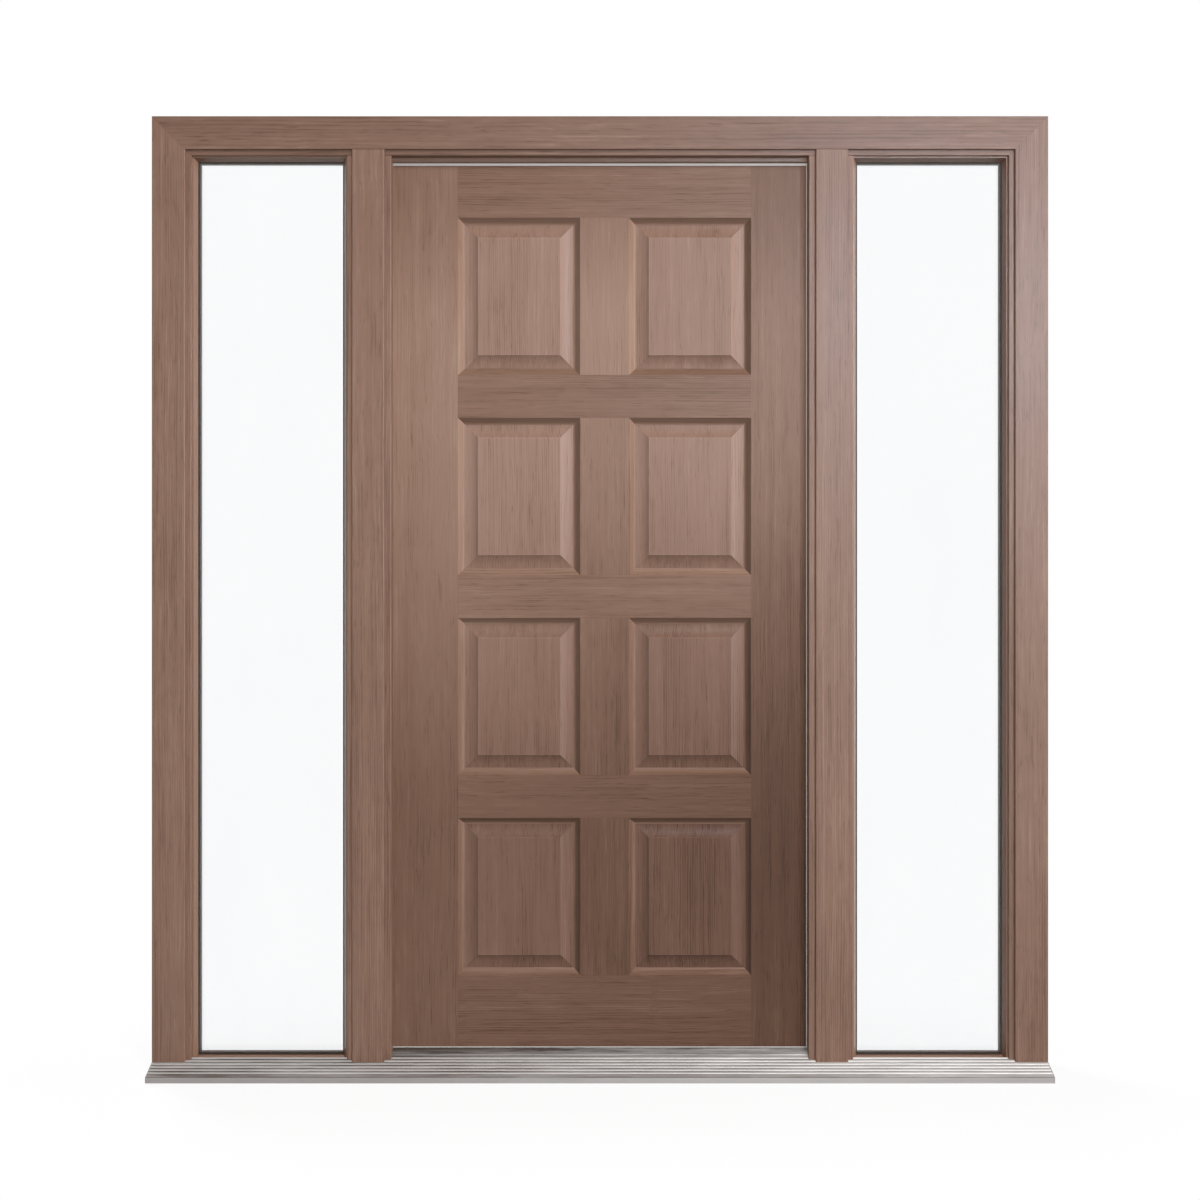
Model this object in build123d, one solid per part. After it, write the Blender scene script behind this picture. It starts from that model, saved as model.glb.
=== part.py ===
from build123d import *

import math
import os

# An entrance doorset: hardwood frame, two glazed side lights, an eight-panel leaf and a ribbed sill.
# The frame's outside face is at y = 0 and +Y runs indoors. Left and right are as seen from outside.
# The origin is on the sill's underside, midway along it. All sizes are in millimetres.

# Leaf
leaf_width = 926.0
leaf_height = 1981.0
leaf_thickness = 44.0
leaf_gap = 5.0  # clear space round the leaf and behind the stop
leaf_arris = 1.5
lock_edge_bevel = 2.0  # degrees, so that the lock edge swings clear
hinge_stile_width = 150.0
lock_stile_width = 130.0
muntin_width = 107.0
top_rail_height = 137.0
mid_rail_height = 94.0
bottom_rail_height = 175.0
column_names = ("left", "right")
panel_rows = 4

# Moulded edge of the stiles and rails, and the groove that holds the panels
sticking_width = 15.0
sticking_depth = 12.0
splay_angle = 41.5  # degrees from the leaf's face
sticking_lip = 1.3  # thickness of the moulding's edge over the panel
groove_depth = 10.0

# Raised and fielded panels
panel_play = 0.5  # free space at the bottom of the groove
panel_setback = 3.0  # the field lies this far below the leaf's face
panel_shoulder = 1.5
bevel_width = 29.0

# Frame timber
face_width = 72.0
step_width = 12.0
step_depth = 10.0
stop_projection = 13.0
stop_thickness = 36.0
mullion_face_width = 70.5
mullion_door_step = 14.5
frame_arris = 2.0
outer_arris = 1.0

# Side lights
light_width = 339.0  # between the rebate walls
bead_setback = 20.0
bead_thickness = 20.0
bead_projection = 9.0
bead_nose = 3.0
bead_land = 6.0
bead_arris = 1.0
pane_thickness = 4.0
pane_space = 16.0
glass_edge_gap = 3.0
spacer_width = 10.0
inner_stop_land = 6.0
inner_stop_foot = 3.0

# Sill
sill_projection = 60.0
nose_height = 13.0
deck_height = 23.0
sill_wall = 2.2
sill_arris = 1.5
cap_thickness = 2.0
drip_lip = 3.0
drip_width = 9.0
drip_depth = 4.0
front_web = 26.0  # spacing of the webs under the tread
deck_web = 24.0  # least spacing of the webs under the deck
rib_pitch = 12.0
first_rib = 16.0  # distance of the first rib from the nose
rib_radius = 2.5
rib_height = 1.4

# Threshold
upstand_height = 23.0
upstand_top = 3.0
upstand_slope = 3.0
upstand_drop = 5.0
threshold_wall = 2.0

# Butt hinges
hinge_height = 100.0
hinge_from_top = 150.0
hinge_from_bottom = 225.0
flap_width = 32.0
flap_thickness = 3.0
flap_gap = 1.0  # between the two flaps of a closed hinge
flap_corner = 1.0
knuckle_count = 5
knuckle_radius = 6.5
knuckle_gap = 0.3
knuckle_standoff = 1.0
pin_radius = 3.0
pin_clearance = 0.05
finial_radius = 5.0
finial_height = 4.0

# Room that a cutting shape has past the solid that it cuts
cut_margin = 1.0

# Widths, as distances from the middle of the doorway
leaf_half = leaf_width / 2
rebate_half = leaf_half + leaf_gap
doorway_half = rebate_half - stop_projection
mullion_face_near = doorway_half + mullion_door_step
mullion_face_far = mullion_face_near + mullion_face_width
light_near = mullion_face_far + step_width
light_far = light_near + light_width
frame_half = light_far + step_width + face_width
rebate_offset = face_width + step_width  # from the frame's outer edge to the glazing rebate's wall

# Depths
stop_back = step_depth + stop_thickness
leaf_front = stop_back + leaf_gap
frame_depth = leaf_front + leaf_thickness
glass_front = bead_setback + bead_thickness
unit_thickness = 2 * pane_thickness + pane_space
inner_stop_front = glass_front + unit_thickness
groove_width = leaf_thickness - 2 * sticking_depth
panel_thickness = leaf_thickness - 2 * panel_setback

# Heights
leaf_bottom = deck_height + leaf_gap
leaf_top = leaf_bottom + leaf_height
rebate_top = leaf_top + leaf_gap
doorway_top = rebate_top - stop_projection
light_top = doorway_top
frame_top = light_top + rebate_offset
tread_top = deck_height + bead_projection  # the tread meets the foot of the glazing beads
tread_slope = (tread_top - nose_height) / (sill_projection + bead_setback)

# Panel openings, measured to the outer edge of the moulding
opening_width = (
    leaf_width - hinge_stile_width - lock_stile_width - muntin_width * (len(column_names) - 1)
) / len(column_names)
opening_height = (
    leaf_height - top_rail_height - bottom_rail_height - mid_rail_height * (panel_rows - 1)
) / panel_rows

# Hinge axis
hinge_x = -(leaf_half + leaf_gap / 2)
hinge_y = frame_depth + knuckle_radius + knuckle_standoff


def box(x0, x1, y0, y1, z0, z1):
    """A block between two corners."""
    middle = ((x0 + x1) / 2, (y0 + y1) / 2, (z0 + z1) / 2)
    return Pos(*middle) * Box(x1 - x0, y1 - y0, z1 - z0)


def rounded_face(points):
    """A flat outline of (first, second, corner radius) points, drawn in the plane's own axes."""
    corners = [(first, second) for first, second, _ in points]
    radii = [radius for _, _, radius in points]
    return make_face(FilletPolyline(*corners, radius=radii, close=True))


def along_x(face, x0, x1):
    """A section drawn in depth and height, drawn out along X."""
    return extrude(Plane.YZ.offset(x0) * face, amount=x1 - x0, dir=(1, 0, 0))


def along_z(face, z0, z1):
    """A section drawn in width and depth, drawn out upwards."""
    return extrude(Plane.XY.offset(z0) * face, amount=z1 - z0, dir=(0, 0, 1))


def plate_xz(corners, y0, y1):
    """An outline drawn in width and height, drawn out through the depth."""
    return extrude(Plane.XZ.offset(-y0) * Polygon(*corners), amount=y1 - y0, dir=(0, 1, 0))


def mitred_bar(section, length, reach):
    """A bar along X whose outer edge lies on Z = 0, with both ends cut at 45 degrees.

    reach is how far the section runs inwards from the outer edge, and more than that does no harm.
    """
    half = length / 2
    mitre = [
        (-half - cut_margin, cut_margin),
        (half + cut_margin, cut_margin),
        (half - reach, -reach),
        (reach - half, -reach),
    ]
    depths = section.bounding_box()
    cutter = plate_xz(mitre, depths.min.X - cut_margin, depths.max.X + cut_margin)
    return along_x(section, -half, half) & cutter


def mitred_ring(section, x0, x1, z0, z1, reach):
    """Four mitred bars round a rectangle, each drawn as its top bar is."""
    level = mitred_bar(section, x1 - x0, reach)
    upright = mitred_bar(section, z1 - z0, reach)
    middle_x = (x0 + x1) / 2
    middle_z = (z0 + z1) / 2
    return {
        "top": Pos(middle_x, 0, z1) * level,
        "bottom": Pos(middle_x, 0, z0) * Rot(0, 180, 0) * level,
        "left": Pos(x0, 0, middle_z) * Rot(0, -90, 0) * upright,
        "right": Pos(x1, 0, middle_z) * Rot(0, 90, 0) * upright,
    }


# Sill and threshold


def tread_height(y):
    return nose_height + (y + sill_projection) * tread_slope


def rib_rounds(positions, height_at):
    """Circles that stand proud of a slope as ribs."""
    sink = rib_radius - rib_height
    return [Pos(y, height_at(y) - sink) * Circle(rib_radius) for y in positions]


def sill_outline():
    """The sill's outer section without its ribs."""
    return rounded_face(
        [
            (-sill_projection, 0, 0),
            (-sill_projection, nose_height, sill_arris),
            (bead_setback, tread_top, 0),
            (bead_setback, deck_height, 0),
            (frame_depth, deck_height, 0),
            (frame_depth, 0, 0),
            (drip_lip + drip_width - sill_projection, 0, 0),
            (drip_lip + drip_width - sill_projection, drip_depth, 0),
            (drip_lip - sill_projection, drip_depth, 0),
            (drip_lip - sill_projection, 0, 0),
        ]
    )


def tread_ribs():
    last = bead_setback - rib_radius
    count = int((last - first_rib + sill_projection) // rib_pitch) + 1
    return [first_rib - sill_projection + rib_pitch * i for i in range(count)]


def sill_chambers():
    """Hollow cells of the extrusion: sloped ones under the tread, square ones under the deck."""
    cells = []
    front = drip_lip + drip_width - sill_projection + sill_wall
    back = bead_setback - sill_wall
    count = max(1, round((back - front) / front_web))
    pitch = (back - front + sill_wall) / count
    for i in range(count):
        y0 = front + pitch * i
        y1 = y0 + pitch - sill_wall
        top0 = tread_height(y0) - sill_wall
        top1 = tread_height(y1) - sill_wall
        cells.append(Polygon((y0, sill_wall), (y1, sill_wall), (y1, top1), (y0, top0)))
    front = bead_setback
    back = frame_depth - sill_wall
    count = max(1, int((back - front) // deck_web))
    pitch = (back - front + sill_wall) / count
    for i in range(count):
        y0 = front + pitch * i
        y1 = y0 + pitch - sill_wall
        top = deck_height - sill_wall
        cells.append(Polygon((y0, sill_wall), (y1, sill_wall), (y1, top), (y0, top)))
    return cells


def ribbed_outline():
    """The sill's outer section with its ribs, also the shape that the posts are scribed to."""
    section = sill_outline()
    for rib in rib_rounds(tread_ribs(), tread_height):
        section += rib
    return section


def make_sill():
    section = ribbed_outline()
    for cell in sill_chambers():
        section -= cell
    half = frame_half - cap_thickness
    return along_x(section, -half, half)


def make_end_caps():
    left = along_x(sill_outline(), -frame_half, cap_thickness - frame_half)
    return Compound([left, mirror(left, about=Plane.YZ)])


def make_threshold():
    """A ribbed ramp that carries the tread on up to the upstand in front of the leaf."""
    top = deck_height + upstand_height
    ramp_end = stop_back - upstand_top - upstand_slope
    ramp_top = top - upstand_drop
    slope = (ramp_top - tread_top) / (ramp_end - bead_setback)

    def ramp_height(y):
        return tread_top + (y - bead_setback) * slope

    section = rounded_face(
        [
            (bead_setback, deck_height, 0),
            (bead_setback, tread_top, 0),
            (ramp_end, ramp_top, 0),
            (stop_back - upstand_top, top, sill_arris / 2),
            (stop_back, top, sill_arris),
            (stop_back, deck_height, 0),
        ]
    )
    first = tread_ribs()[-1] + rib_pitch
    count = int((ramp_end - rib_radius / 2 - first) // rib_pitch) + 1
    for rib in rib_rounds([first + rib_pitch * i for i in range(count)], ramp_height):
        section += rib
    y0 = bead_setback + threshold_wall
    y1 = stop_back - threshold_wall
    floor = deck_height + threshold_wall
    section -= Polygon(
        (y0, floor),
        (y1, floor),
        (y1, top - 2 * threshold_wall),
        (stop_back - upstand_top, top - 2 * threshold_wall),
        (ramp_end, ramp_top - threshold_wall),
        (y0, ramp_height(y0) - threshold_wall),
    )
    return along_x(section, -doorway_half, doorway_half)


# Frame timber


def inner_stop(wall, inwards):
    """The inner stop's corners in depth and distance, standing 1 or -1 inwards off a rebate wall."""
    edge = wall + inwards * bead_projection
    return [
        (inner_stop_front, wall, 0),
        (inner_stop_front, edge, outer_arris),
        (inner_stop_front + inner_stop_land, edge, outer_arris),
        (frame_depth, wall + inwards * inner_stop_foot, outer_arris),
    ]


def frame_section():
    """Jamb and head, in depth and in height below the frame's outer edge."""
    return rounded_face(
        [
            (0, 0, outer_arris),
            (0, -face_width, frame_arris),
            (step_depth, -face_width, 0),
            (step_depth, -rebate_offset, frame_arris),
            *inner_stop(-rebate_offset, -1),
            (frame_depth, 0, outer_arris),
        ]
    )


def frame_ring():
    """The frame's section round the head and both jambs, with the foot still to be cut."""
    reach = rebate_offset + bead_projection + cut_margin
    return mitred_ring(frame_section(), -frame_half, frame_half, -frame_top, frame_top, reach)


def make_sill_scribe():
    """What the foot of a post is cut away by."""
    solid = along_x(ribbed_outline(), -frame_half - cut_margin, frame_half + cut_margin)
    below = box(
        -frame_half - cut_margin,
        frame_half + cut_margin,
        -cut_margin,
        frame_depth + cut_margin,
        -frame_top - cut_margin,
        deck_height,
    )
    return solid + below


def make_head(ring):
    """The head, its inner stop mitred to the mullions' stops and its rebate cut over the leaf."""
    drop = bead_projection + cut_margin
    between_lights = [
        (-light_near, light_top),
        (light_near, light_top),
        (light_near + drop, light_top - drop),
        (-light_near - drop, light_top - drop),
    ]
    back = frame_depth + cut_margin
    head = ring["top"] - plate_xz(between_lights, inner_stop_front - cut_margin, back)
    return head - box(-rebate_half, rebate_half, stop_back, back, light_top - drop, rebate_top)


def make_head_scribe():
    """What the top of a mullion is cut away by: the head behind its face, and the stop's mitre."""
    drop = bead_projection + cut_margin
    near = doorway_half - cut_margin
    over = frame_top - face_width + cut_margin
    outline = [
        (near, light_top),
        (light_near, light_top),
        (light_near + drop, light_top - drop),
        (light_near + drop, over),
        (near, over),
    ]
    return plate_xz(outline, step_depth, frame_depth + cut_margin)


def make_mullion(head_scribe, sill_scribe):
    """The right-hand mullion, which runs on in front of the head's step to the head's face."""
    stop_corners = [(across, depth, arris) for depth, across, arris in inner_stop(light_near, 1)]
    section = rounded_face(
        [
            (mullion_face_near, 0, frame_arris),
            (mullion_face_near, step_depth, 0),
            (doorway_half, step_depth, frame_arris),
            (doorway_half, stop_back, outer_arris),
            (rebate_half, stop_back, 0),
            (rebate_half, frame_depth, outer_arris),
            *reversed(stop_corners),
            (light_near, step_depth, frame_arris),
            (mullion_face_far, step_depth, 0),
            (mullion_face_far, 0, frame_arris),
        ]
    )
    return along_z(section, 0, frame_top - face_width) - head_scribe - sill_scribe


# Side lights


def bead_section():
    """A bead with a sloped face, thin in front and full width against the glass."""
    return rounded_face(
        [
            (bead_setback, 0, 0),
            (bead_setback, -bead_nose, bead_arris),
            (glass_front - bead_land, -bead_projection, bead_arris),
            (glass_front, -bead_projection, 0),
            (glass_front, 0, 0),
        ]
    )


def pane(y0, inset):
    return box(
        light_near + inset, light_far - inset, y0, y0 + pane_thickness,
        deck_height + inset, light_top - inset,
    )


def make_right_light():
    """The pieces of the right-hand side light, by the last part of their names."""
    reach = bead_projection + cut_margin
    ring = mitred_ring(bead_section(), light_near, light_far, deck_height, light_top, reach)
    outer_pane = pane(glass_front, glass_edge_gap)
    inner_pane = pane(glass_front + pane_thickness + pane_space, glass_edge_gap)
    y0 = glass_front + pane_thickness
    edge = glass_edge_gap
    sight = glass_edge_gap + spacer_width
    spacer = box(
        light_near + edge, light_far - edge, y0, y0 + pane_space,
        deck_height + edge, light_top - edge,
    )
    spacer -= box(
        light_near + sight, light_far - sight, y0 - cut_margin, y0 + pane_space + cut_margin,
        deck_height + sight, light_top - sight,
    )
    stop_section = rounded_face([*inner_stop(deck_height, 1), (frame_depth, deck_height, 0)])
    return {
        "bead_top": ring["top"],
        "bead_bottom": ring["bottom"],
        "bead_inner": ring["left"],
        "bead_outer": ring["right"],
        "glass": Compound([outer_pane, inner_pane]),
        "spacer": spacer,
        "base_stop": along_x(
            stop_section, light_near + bead_projection, light_far - bead_projection
        ),
    }


# Leaf


def column_start(column):
    return hinge_stile_width - leaf_half + column * (opening_width + muntin_width)


def row_top(row):
    return leaf_top - top_rail_height - row * (opening_height + mid_rail_height)


def opening_place(column, row):
    """Carries a shape made round the origin to one of the panel openings."""
    return Pos(column_start(column) + opening_width / 2, 0, row_top(row) - opening_height / 2)


def sticking_void():
    """What the moulding leaves open: a flat splay that runs on into a small cove, which ends level."""
    edge_depth = sticking_depth - sticking_lip
    steep = math.tan(math.radians(splay_angle))
    mean = math.tan(math.radians(splay_angle / 2))
    splay = (edge_depth - sticking_width * mean) / (steep - mean)
    cove_start = (splay * steep, -splay)
    edge = (edge_depth, -sticking_width)
    outline = [
        Polyline((-cut_margin, 0), (0, 0), cove_start),
        TangentArc(cove_start, edge, tangent=cove_start),
        Polyline(edge, (-cut_margin, -sticking_width), (-cut_margin, 0)),
    ]
    return make_face(outline)


def centred_block(width, height, y0, y1):
    return box(-width / 2, width / 2, y0, y1, -height / 2, height / 2)


def face_to_back(shape):
    """The same shape turned over to the leaf's inside face."""
    middle = Plane.XZ.offset(-(leaf_front + leaf_thickness / 2))
    return mirror(shape, about=middle)


def make_pocket():
    """Everything that a panel opening takes out of the leaf, round the origin."""
    half_width = opening_width / 2
    half_height = opening_height / 2
    reach = sticking_width + cut_margin
    ring = mitred_ring(
        sticking_void(), -half_width, half_width, -half_height, half_height, reach
    )
    sight_width = opening_width - 2 * sticking_width
    sight_height = opening_height - 2 * sticking_width
    pocket = centred_block(
        sight_width, sight_height, leaf_front - cut_margin, leaf_front + leaf_thickness + cut_margin
    )
    pocket += centred_block(
        sight_width + 2 * groove_depth,
        sight_height + 2 * groove_depth,
        leaf_front + sticking_depth,
        leaf_front + sticking_depth + groove_width,
    )
    for bar in ring.values():
        front = Pos(0, leaf_front, 0) * bar
        pocket += front
        pocket += face_to_back(front)
    return pocket


def make_sticking_strips():
    """Mitred strips that carry the moulding, one for each side of an opening."""
    half_width = opening_width / 2
    half_height = opening_height / 2
    outer = [
        (-half_width, -half_height),
        (half_width, -half_height),
        (half_width, half_height),
        (-half_width, half_height),
    ]
    inner = [
        (math.copysign(abs(x) - sticking_width, x), math.copysign(abs(z) - sticking_width, z))
        for x, z in outer
    ]
    strips = {}
    for i, side in enumerate(("bottom", "right", "top", "left")):
        after = (i + 1) % len(outer)
        corners = [outer[i], outer[after], inner[after], inner[i]]
        strips[side] = plate_xz(corners, leaf_front, leaf_front + leaf_thickness)
    return strips


def milled(blank, edges, pocket, strips):
    """A stile, rail or muntin: its blank, with the moulding worked on the named opening sides."""
    for column, row, side in edges:
        blank += opening_place(column, row) * strips[side]
    for column, row in sorted({(column, row) for column, row, _ in edges}):
        blank -= opening_place(column, row) * pocket
    return blank


def make_stiles(pocket, strips):
    rows = range(panel_rows)
    last = len(column_names) - 1
    back = leaf_front + leaf_thickness
    hinge_blank = rounded_face(
        [
            (-leaf_half, leaf_front, leaf_arris),
            (hinge_stile_width - leaf_half, leaf_front, 0),
            (hinge_stile_width - leaf_half, back, 0),
            (-leaf_half, back, leaf_arris),
        ]
    )
    lead = leaf_thickness * math.tan(math.radians(lock_edge_bevel))
    lock_blank = rounded_face(
        [
            (leaf_half - lock_stile_width, leaf_front, 0),
            (leaf_half - lead, leaf_front, leaf_arris),
            (leaf_half, back, leaf_arris),
            (leaf_half - lock_stile_width, back, 0),
        ]
    )
    hinge_stile = along_z(hinge_blank, leaf_bottom, leaf_top)
    lock_stile = along_z(lock_blank, leaf_bottom, leaf_top)
    return {
        "hinge_stile": milled(hinge_stile, [(0, row, "left") for row in rows], pocket, strips),
        "lock_stile": milled(lock_stile, [(last, row, "right") for row in rows], pocket, strips),
    }


def make_rails(pocket, strips):
    """The rails, from the top one down, each between the two stiles."""
    columns = range(len(column_names))
    x0 = hinge_stile_width - leaf_half
    x1 = leaf_half - lock_stile_width
    rails = {}
    for i in range(panel_rows + 1):
        top = leaf_top if i == 0 else row_top(i - 1) - opening_height
        bottom = leaf_bottom if i == panel_rows else row_top(i)
        edges = []
        if i > 0:
            edges += [(column, i - 1, "bottom") for column in columns]
        if i < panel_rows:
            edges += [(column, i, "top") for column in columns]
        name = f"mid_rail_{i}"
        if i == 0:
            name = "top_rail"
        if i == panel_rows:
            name = "bottom_rail"
        blank = box(x0, x1, leaf_front, leaf_front + leaf_thickness, bottom, top)
        rails[name] = milled(blank, edges, pocket, strips)
    return rails


def make_muntins(pocket, strips):
    muntins = {}
    for row in range(panel_rows):
        for column in range(len(column_names) - 1):
            x0 = column_start(column) + opening_width
            top = row_top(row)
            blank = box(
                x0, x0 + muntin_width, leaf_front, leaf_front + leaf_thickness,
                top - opening_height, top,
            )
            edges = [(column, row, "right"), (column + 1, row, "left")]
            muntins[f"muntin_{row + 1}"] = milled(blank, edges, pocket, strips)
    return muntins


def bevel_void():
    """What is worked off a panel's edge: the tongue's cheek, a hollow bevel and the shoulder."""
    cheek = sticking_depth - panel_setback
    tongue = groove_depth - panel_play
    outline = [
        Polyline((-cut_margin, 0), (-cut_margin, cut_margin), (cheek, cut_margin), (cheek, -tongue)),
        TangentArc(
            (cheek, -tongue), (panel_shoulder, -tongue - bevel_width), tangent=(0, -1)
        ),
        Polyline(
            (panel_shoulder, -tongue - bevel_width),
            (-cut_margin, -tongue - bevel_width),
            (-cut_margin, 0),
        ),
    ]
    return make_face(outline)


def make_panel():
    """A raised and fielded panel, the same on both faces, round the origin."""
    tongue = groove_depth - panel_play
    width = opening_width - 2 * sticking_width + 2 * tongue
    height = opening_height - 2 * sticking_width + 2 * tongue
    face = leaf_front + panel_setback
    panel = centred_block(width, height, face, face + panel_thickness)
    reach = tongue + bevel_width + cut_margin
    ring = mitred_ring(
        bevel_void(), -width / 2, width / 2, -height / 2, height / 2, reach
    )
    for bar in ring.values():
        front = Pos(0, face, 0) * bar
        panel -= front
        panel -= face_to_back(front)
    return panel


# Hinges


def hinge_bottoms():
    """Height of each hinge's lower end."""
    low = leaf_bottom + hinge_from_bottom
    high = leaf_top - hinge_from_top - hinge_height
    return [low, (low + high) / 2, high]


def flap_block(side, y1):
    """A flap's plate at height zero. side is -1 for the frame's flap and 1 for the door's."""
    near = side * flap_gap / 2
    far = near + side * flap_thickness
    x0, x1 = sorted((hinge_x + near, hinge_x + far))
    return box(x0, x1, frame_depth - flap_width, y1, 0, hinge_height)


def make_flap(side):
    """One half of a hinge: the plate, its knuckles and the bore for the pin."""
    flap = flap_block(side, hinge_y)
    corners = flap.edges().filter_by(Axis.X).sort_by(Axis.Y)[:2]
    flap = fillet(corners, flap_corner)
    pitch = hinge_height / knuckle_count
    barrel_axis = Pos(hinge_x, hinge_y, 0)
    upwards = (Align.CENTER, Align.CENTER, Align.MIN)
    for i in range(knuckle_count):
        own = (i % 2 == 0) == (side < 0)
        if own:
            start = pitch * i + (knuckle_gap / 2 if i > 0 else 0)
            end = pitch * (i + 1) - (knuckle_gap / 2 if i < knuckle_count - 1 else 0)
            flap += barrel_axis * Pos(0, 0, start) * Cylinder(
                knuckle_radius, end - start, align=upwards
            )
        else:
            start = pitch * i - knuckle_gap / 2
            flap -= barrel_axis * Pos(0, 0, start) * Cylinder(
                knuckle_radius + knuckle_gap, pitch + knuckle_gap, align=upwards
            )
    bore = Cylinder(
        pin_radius + pin_clearance, hinge_height + 2 * cut_margin, align=upwards
    )
    return flap - barrel_axis * Pos(0, 0, -cut_margin) * bore


def make_pin():
    """A pin with a turned finial at each end, as one turned shape."""
    half = [
        Polyline((0, -finial_height), (0, hinge_height + finial_height)),
        TangentArc(
            (0, hinge_height + finial_height),
            (finial_radius, hinge_height + finial_height / 4),
            tangent=(1, 0),
        ),
        Polyline(
            (finial_radius, hinge_height + finial_height / 4),
            (finial_radius, hinge_height),
            (pin_radius, hinge_height),
            (pin_radius, 0),
            (finial_radius, 0),
            (finial_radius, -finial_height / 4),
        ),
        TangentArc(
            (0, -finial_height), (finial_radius, -finial_height / 4), tangent=(1, 0)
        ),
    ]
    turned = revolve(Plane.XZ * make_face(half), axis=Axis.Z)
    return Pos(hinge_x, hinge_y, 0) * turned


def at_hinges(shape):
    return [Pos(0, 0, bottom) * shape for bottom in hinge_bottoms()]


def housed(timber, side):
    """Sinks the flaps of the hinges into a stile or mullion."""
    for recess in at_hinges(flap_block(side, frame_depth + cut_margin)):
        timber -= recess
    return timber


# All the pieces, by name


def make_frame_nodes():
    sill_scribe = make_sill_scribe()
    ring = frame_ring()
    mullion = make_mullion(make_head_scribe(), sill_scribe)
    nodes = {
        "sill": make_sill(),
        "sill_end_caps": make_end_caps(),
        "threshold": make_threshold(),
        "head": make_head(ring),
        "jamb_left": ring["left"] - sill_scribe,
        "jamb_right": ring["right"] - sill_scribe,
        "mullion_right": mullion,
        "mullion_left": housed(mirror(mullion, about=Plane.YZ), -1),
    }
    for name, piece in make_right_light().items():
        first, _, last = name.partition("_")
        if first == "bead":
            nodes[f"bead_right_{last}"] = piece
            nodes[f"bead_left_{last}"] = mirror(piece, about=Plane.YZ)
        else:
            nodes[f"{name}_right"] = piece
            nodes[f"{name}_left"] = mirror(piece, about=Plane.YZ)
    nodes["hinge_frame_flaps"] = Compound(at_hinges(make_flap(-1)))
    nodes["hinge_pins"] = Compound(at_hinges(make_pin()))
    return nodes


def make_leaf_nodes():
    pocket = make_pocket()
    strips = make_sticking_strips()
    nodes = make_stiles(pocket, strips)
    nodes["hinge_stile"] = housed(nodes["hinge_stile"], 1)
    nodes.update(make_rails(pocket, strips))
    nodes.update(make_muntins(pocket, strips))
    panel = make_panel()
    for row in range(panel_rows):
        for column, name in enumerate(column_names):
            nodes[f"panel_{row + 1}_{name}"] = opening_place(column, row) * panel
    nodes["hinge_door_flaps"] = Compound(at_hinges(make_flap(1)))
    return nodes


os.makedirs("parts", exist_ok=True)
for name, piece in {**make_frame_nodes(), **make_leaf_nodes()}.items():
    export_step(piece, f"parts/{name}.step")
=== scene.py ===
"""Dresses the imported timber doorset: a finish on every CAD node, seals, gaskets and screws, and a studio.

Everything is in metres in the row frame: x = 0 is the middle of the doorway, the frame's outside face
is at y = 0 with +Y indoors, and z = 0 is the sill's underside.
"""

import logging
import math
from dataclasses import dataclass
from enum import Enum
from functools import reduce
from typing import Callable, Optional, Sequence, Union

import bpy
from mathutils import Color, Euler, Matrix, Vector


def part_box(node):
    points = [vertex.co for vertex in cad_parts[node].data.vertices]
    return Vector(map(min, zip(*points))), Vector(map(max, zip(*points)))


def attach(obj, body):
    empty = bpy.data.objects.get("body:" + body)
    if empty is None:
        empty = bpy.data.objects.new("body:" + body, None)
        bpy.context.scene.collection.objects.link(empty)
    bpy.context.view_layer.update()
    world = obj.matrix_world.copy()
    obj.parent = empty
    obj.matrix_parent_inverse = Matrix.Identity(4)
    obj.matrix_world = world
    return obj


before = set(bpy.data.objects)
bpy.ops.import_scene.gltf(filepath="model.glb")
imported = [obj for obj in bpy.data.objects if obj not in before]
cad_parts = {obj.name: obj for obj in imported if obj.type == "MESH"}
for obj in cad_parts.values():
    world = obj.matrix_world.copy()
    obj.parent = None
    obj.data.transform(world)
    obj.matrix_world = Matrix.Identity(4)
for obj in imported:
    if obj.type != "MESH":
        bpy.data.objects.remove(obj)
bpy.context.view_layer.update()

log = logging.getLogger("doorset")

Triple = tuple[float, float, float]
Colour = tuple[float, float, float, float]
Material = bpy.types.Material
Outputs = bpy.types.NodeOutputs
Piece = bpy.types.Object
Socket = bpy.types.NodeSocket
Input = Union[float, Sequence[float], Socket]
Fed = dict[str, Input]
Picker = Callable[[Vector], bool]

MM = 0.001
QUARTER_TURN = math.pi / 2
SMOOTH_UNDER = math.radians(40)
NEARLY = 0.9  # the share of a size, or of a normal, past which an end or a face is picked
SIDES = {"left": -1.0, "right": 1.0}


# Small helpers


def stain(red: int, green: int, blue: int) -> Colour:
    """Turns a colour as a screen shows it into the linear colour that shaders take.

    Args:
        red: Red, 0 to 255.
        green: Green, 0 to 255.
        blue: Blue, 0 to 255.

    Returns:
        The linear colour with full alpha.
    """
    shown = Color((red / 255, green / 255, blue / 255))
    return (*shown.from_srgb_to_scene_linear(), 1.0)


class Grain(Enum):
    """The way a member's grain runs, as the turn about Y that brings it upright."""

    UPRIGHT = 0.0
    LEVEL = -QUARTER_TURN


# Shaders


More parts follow.
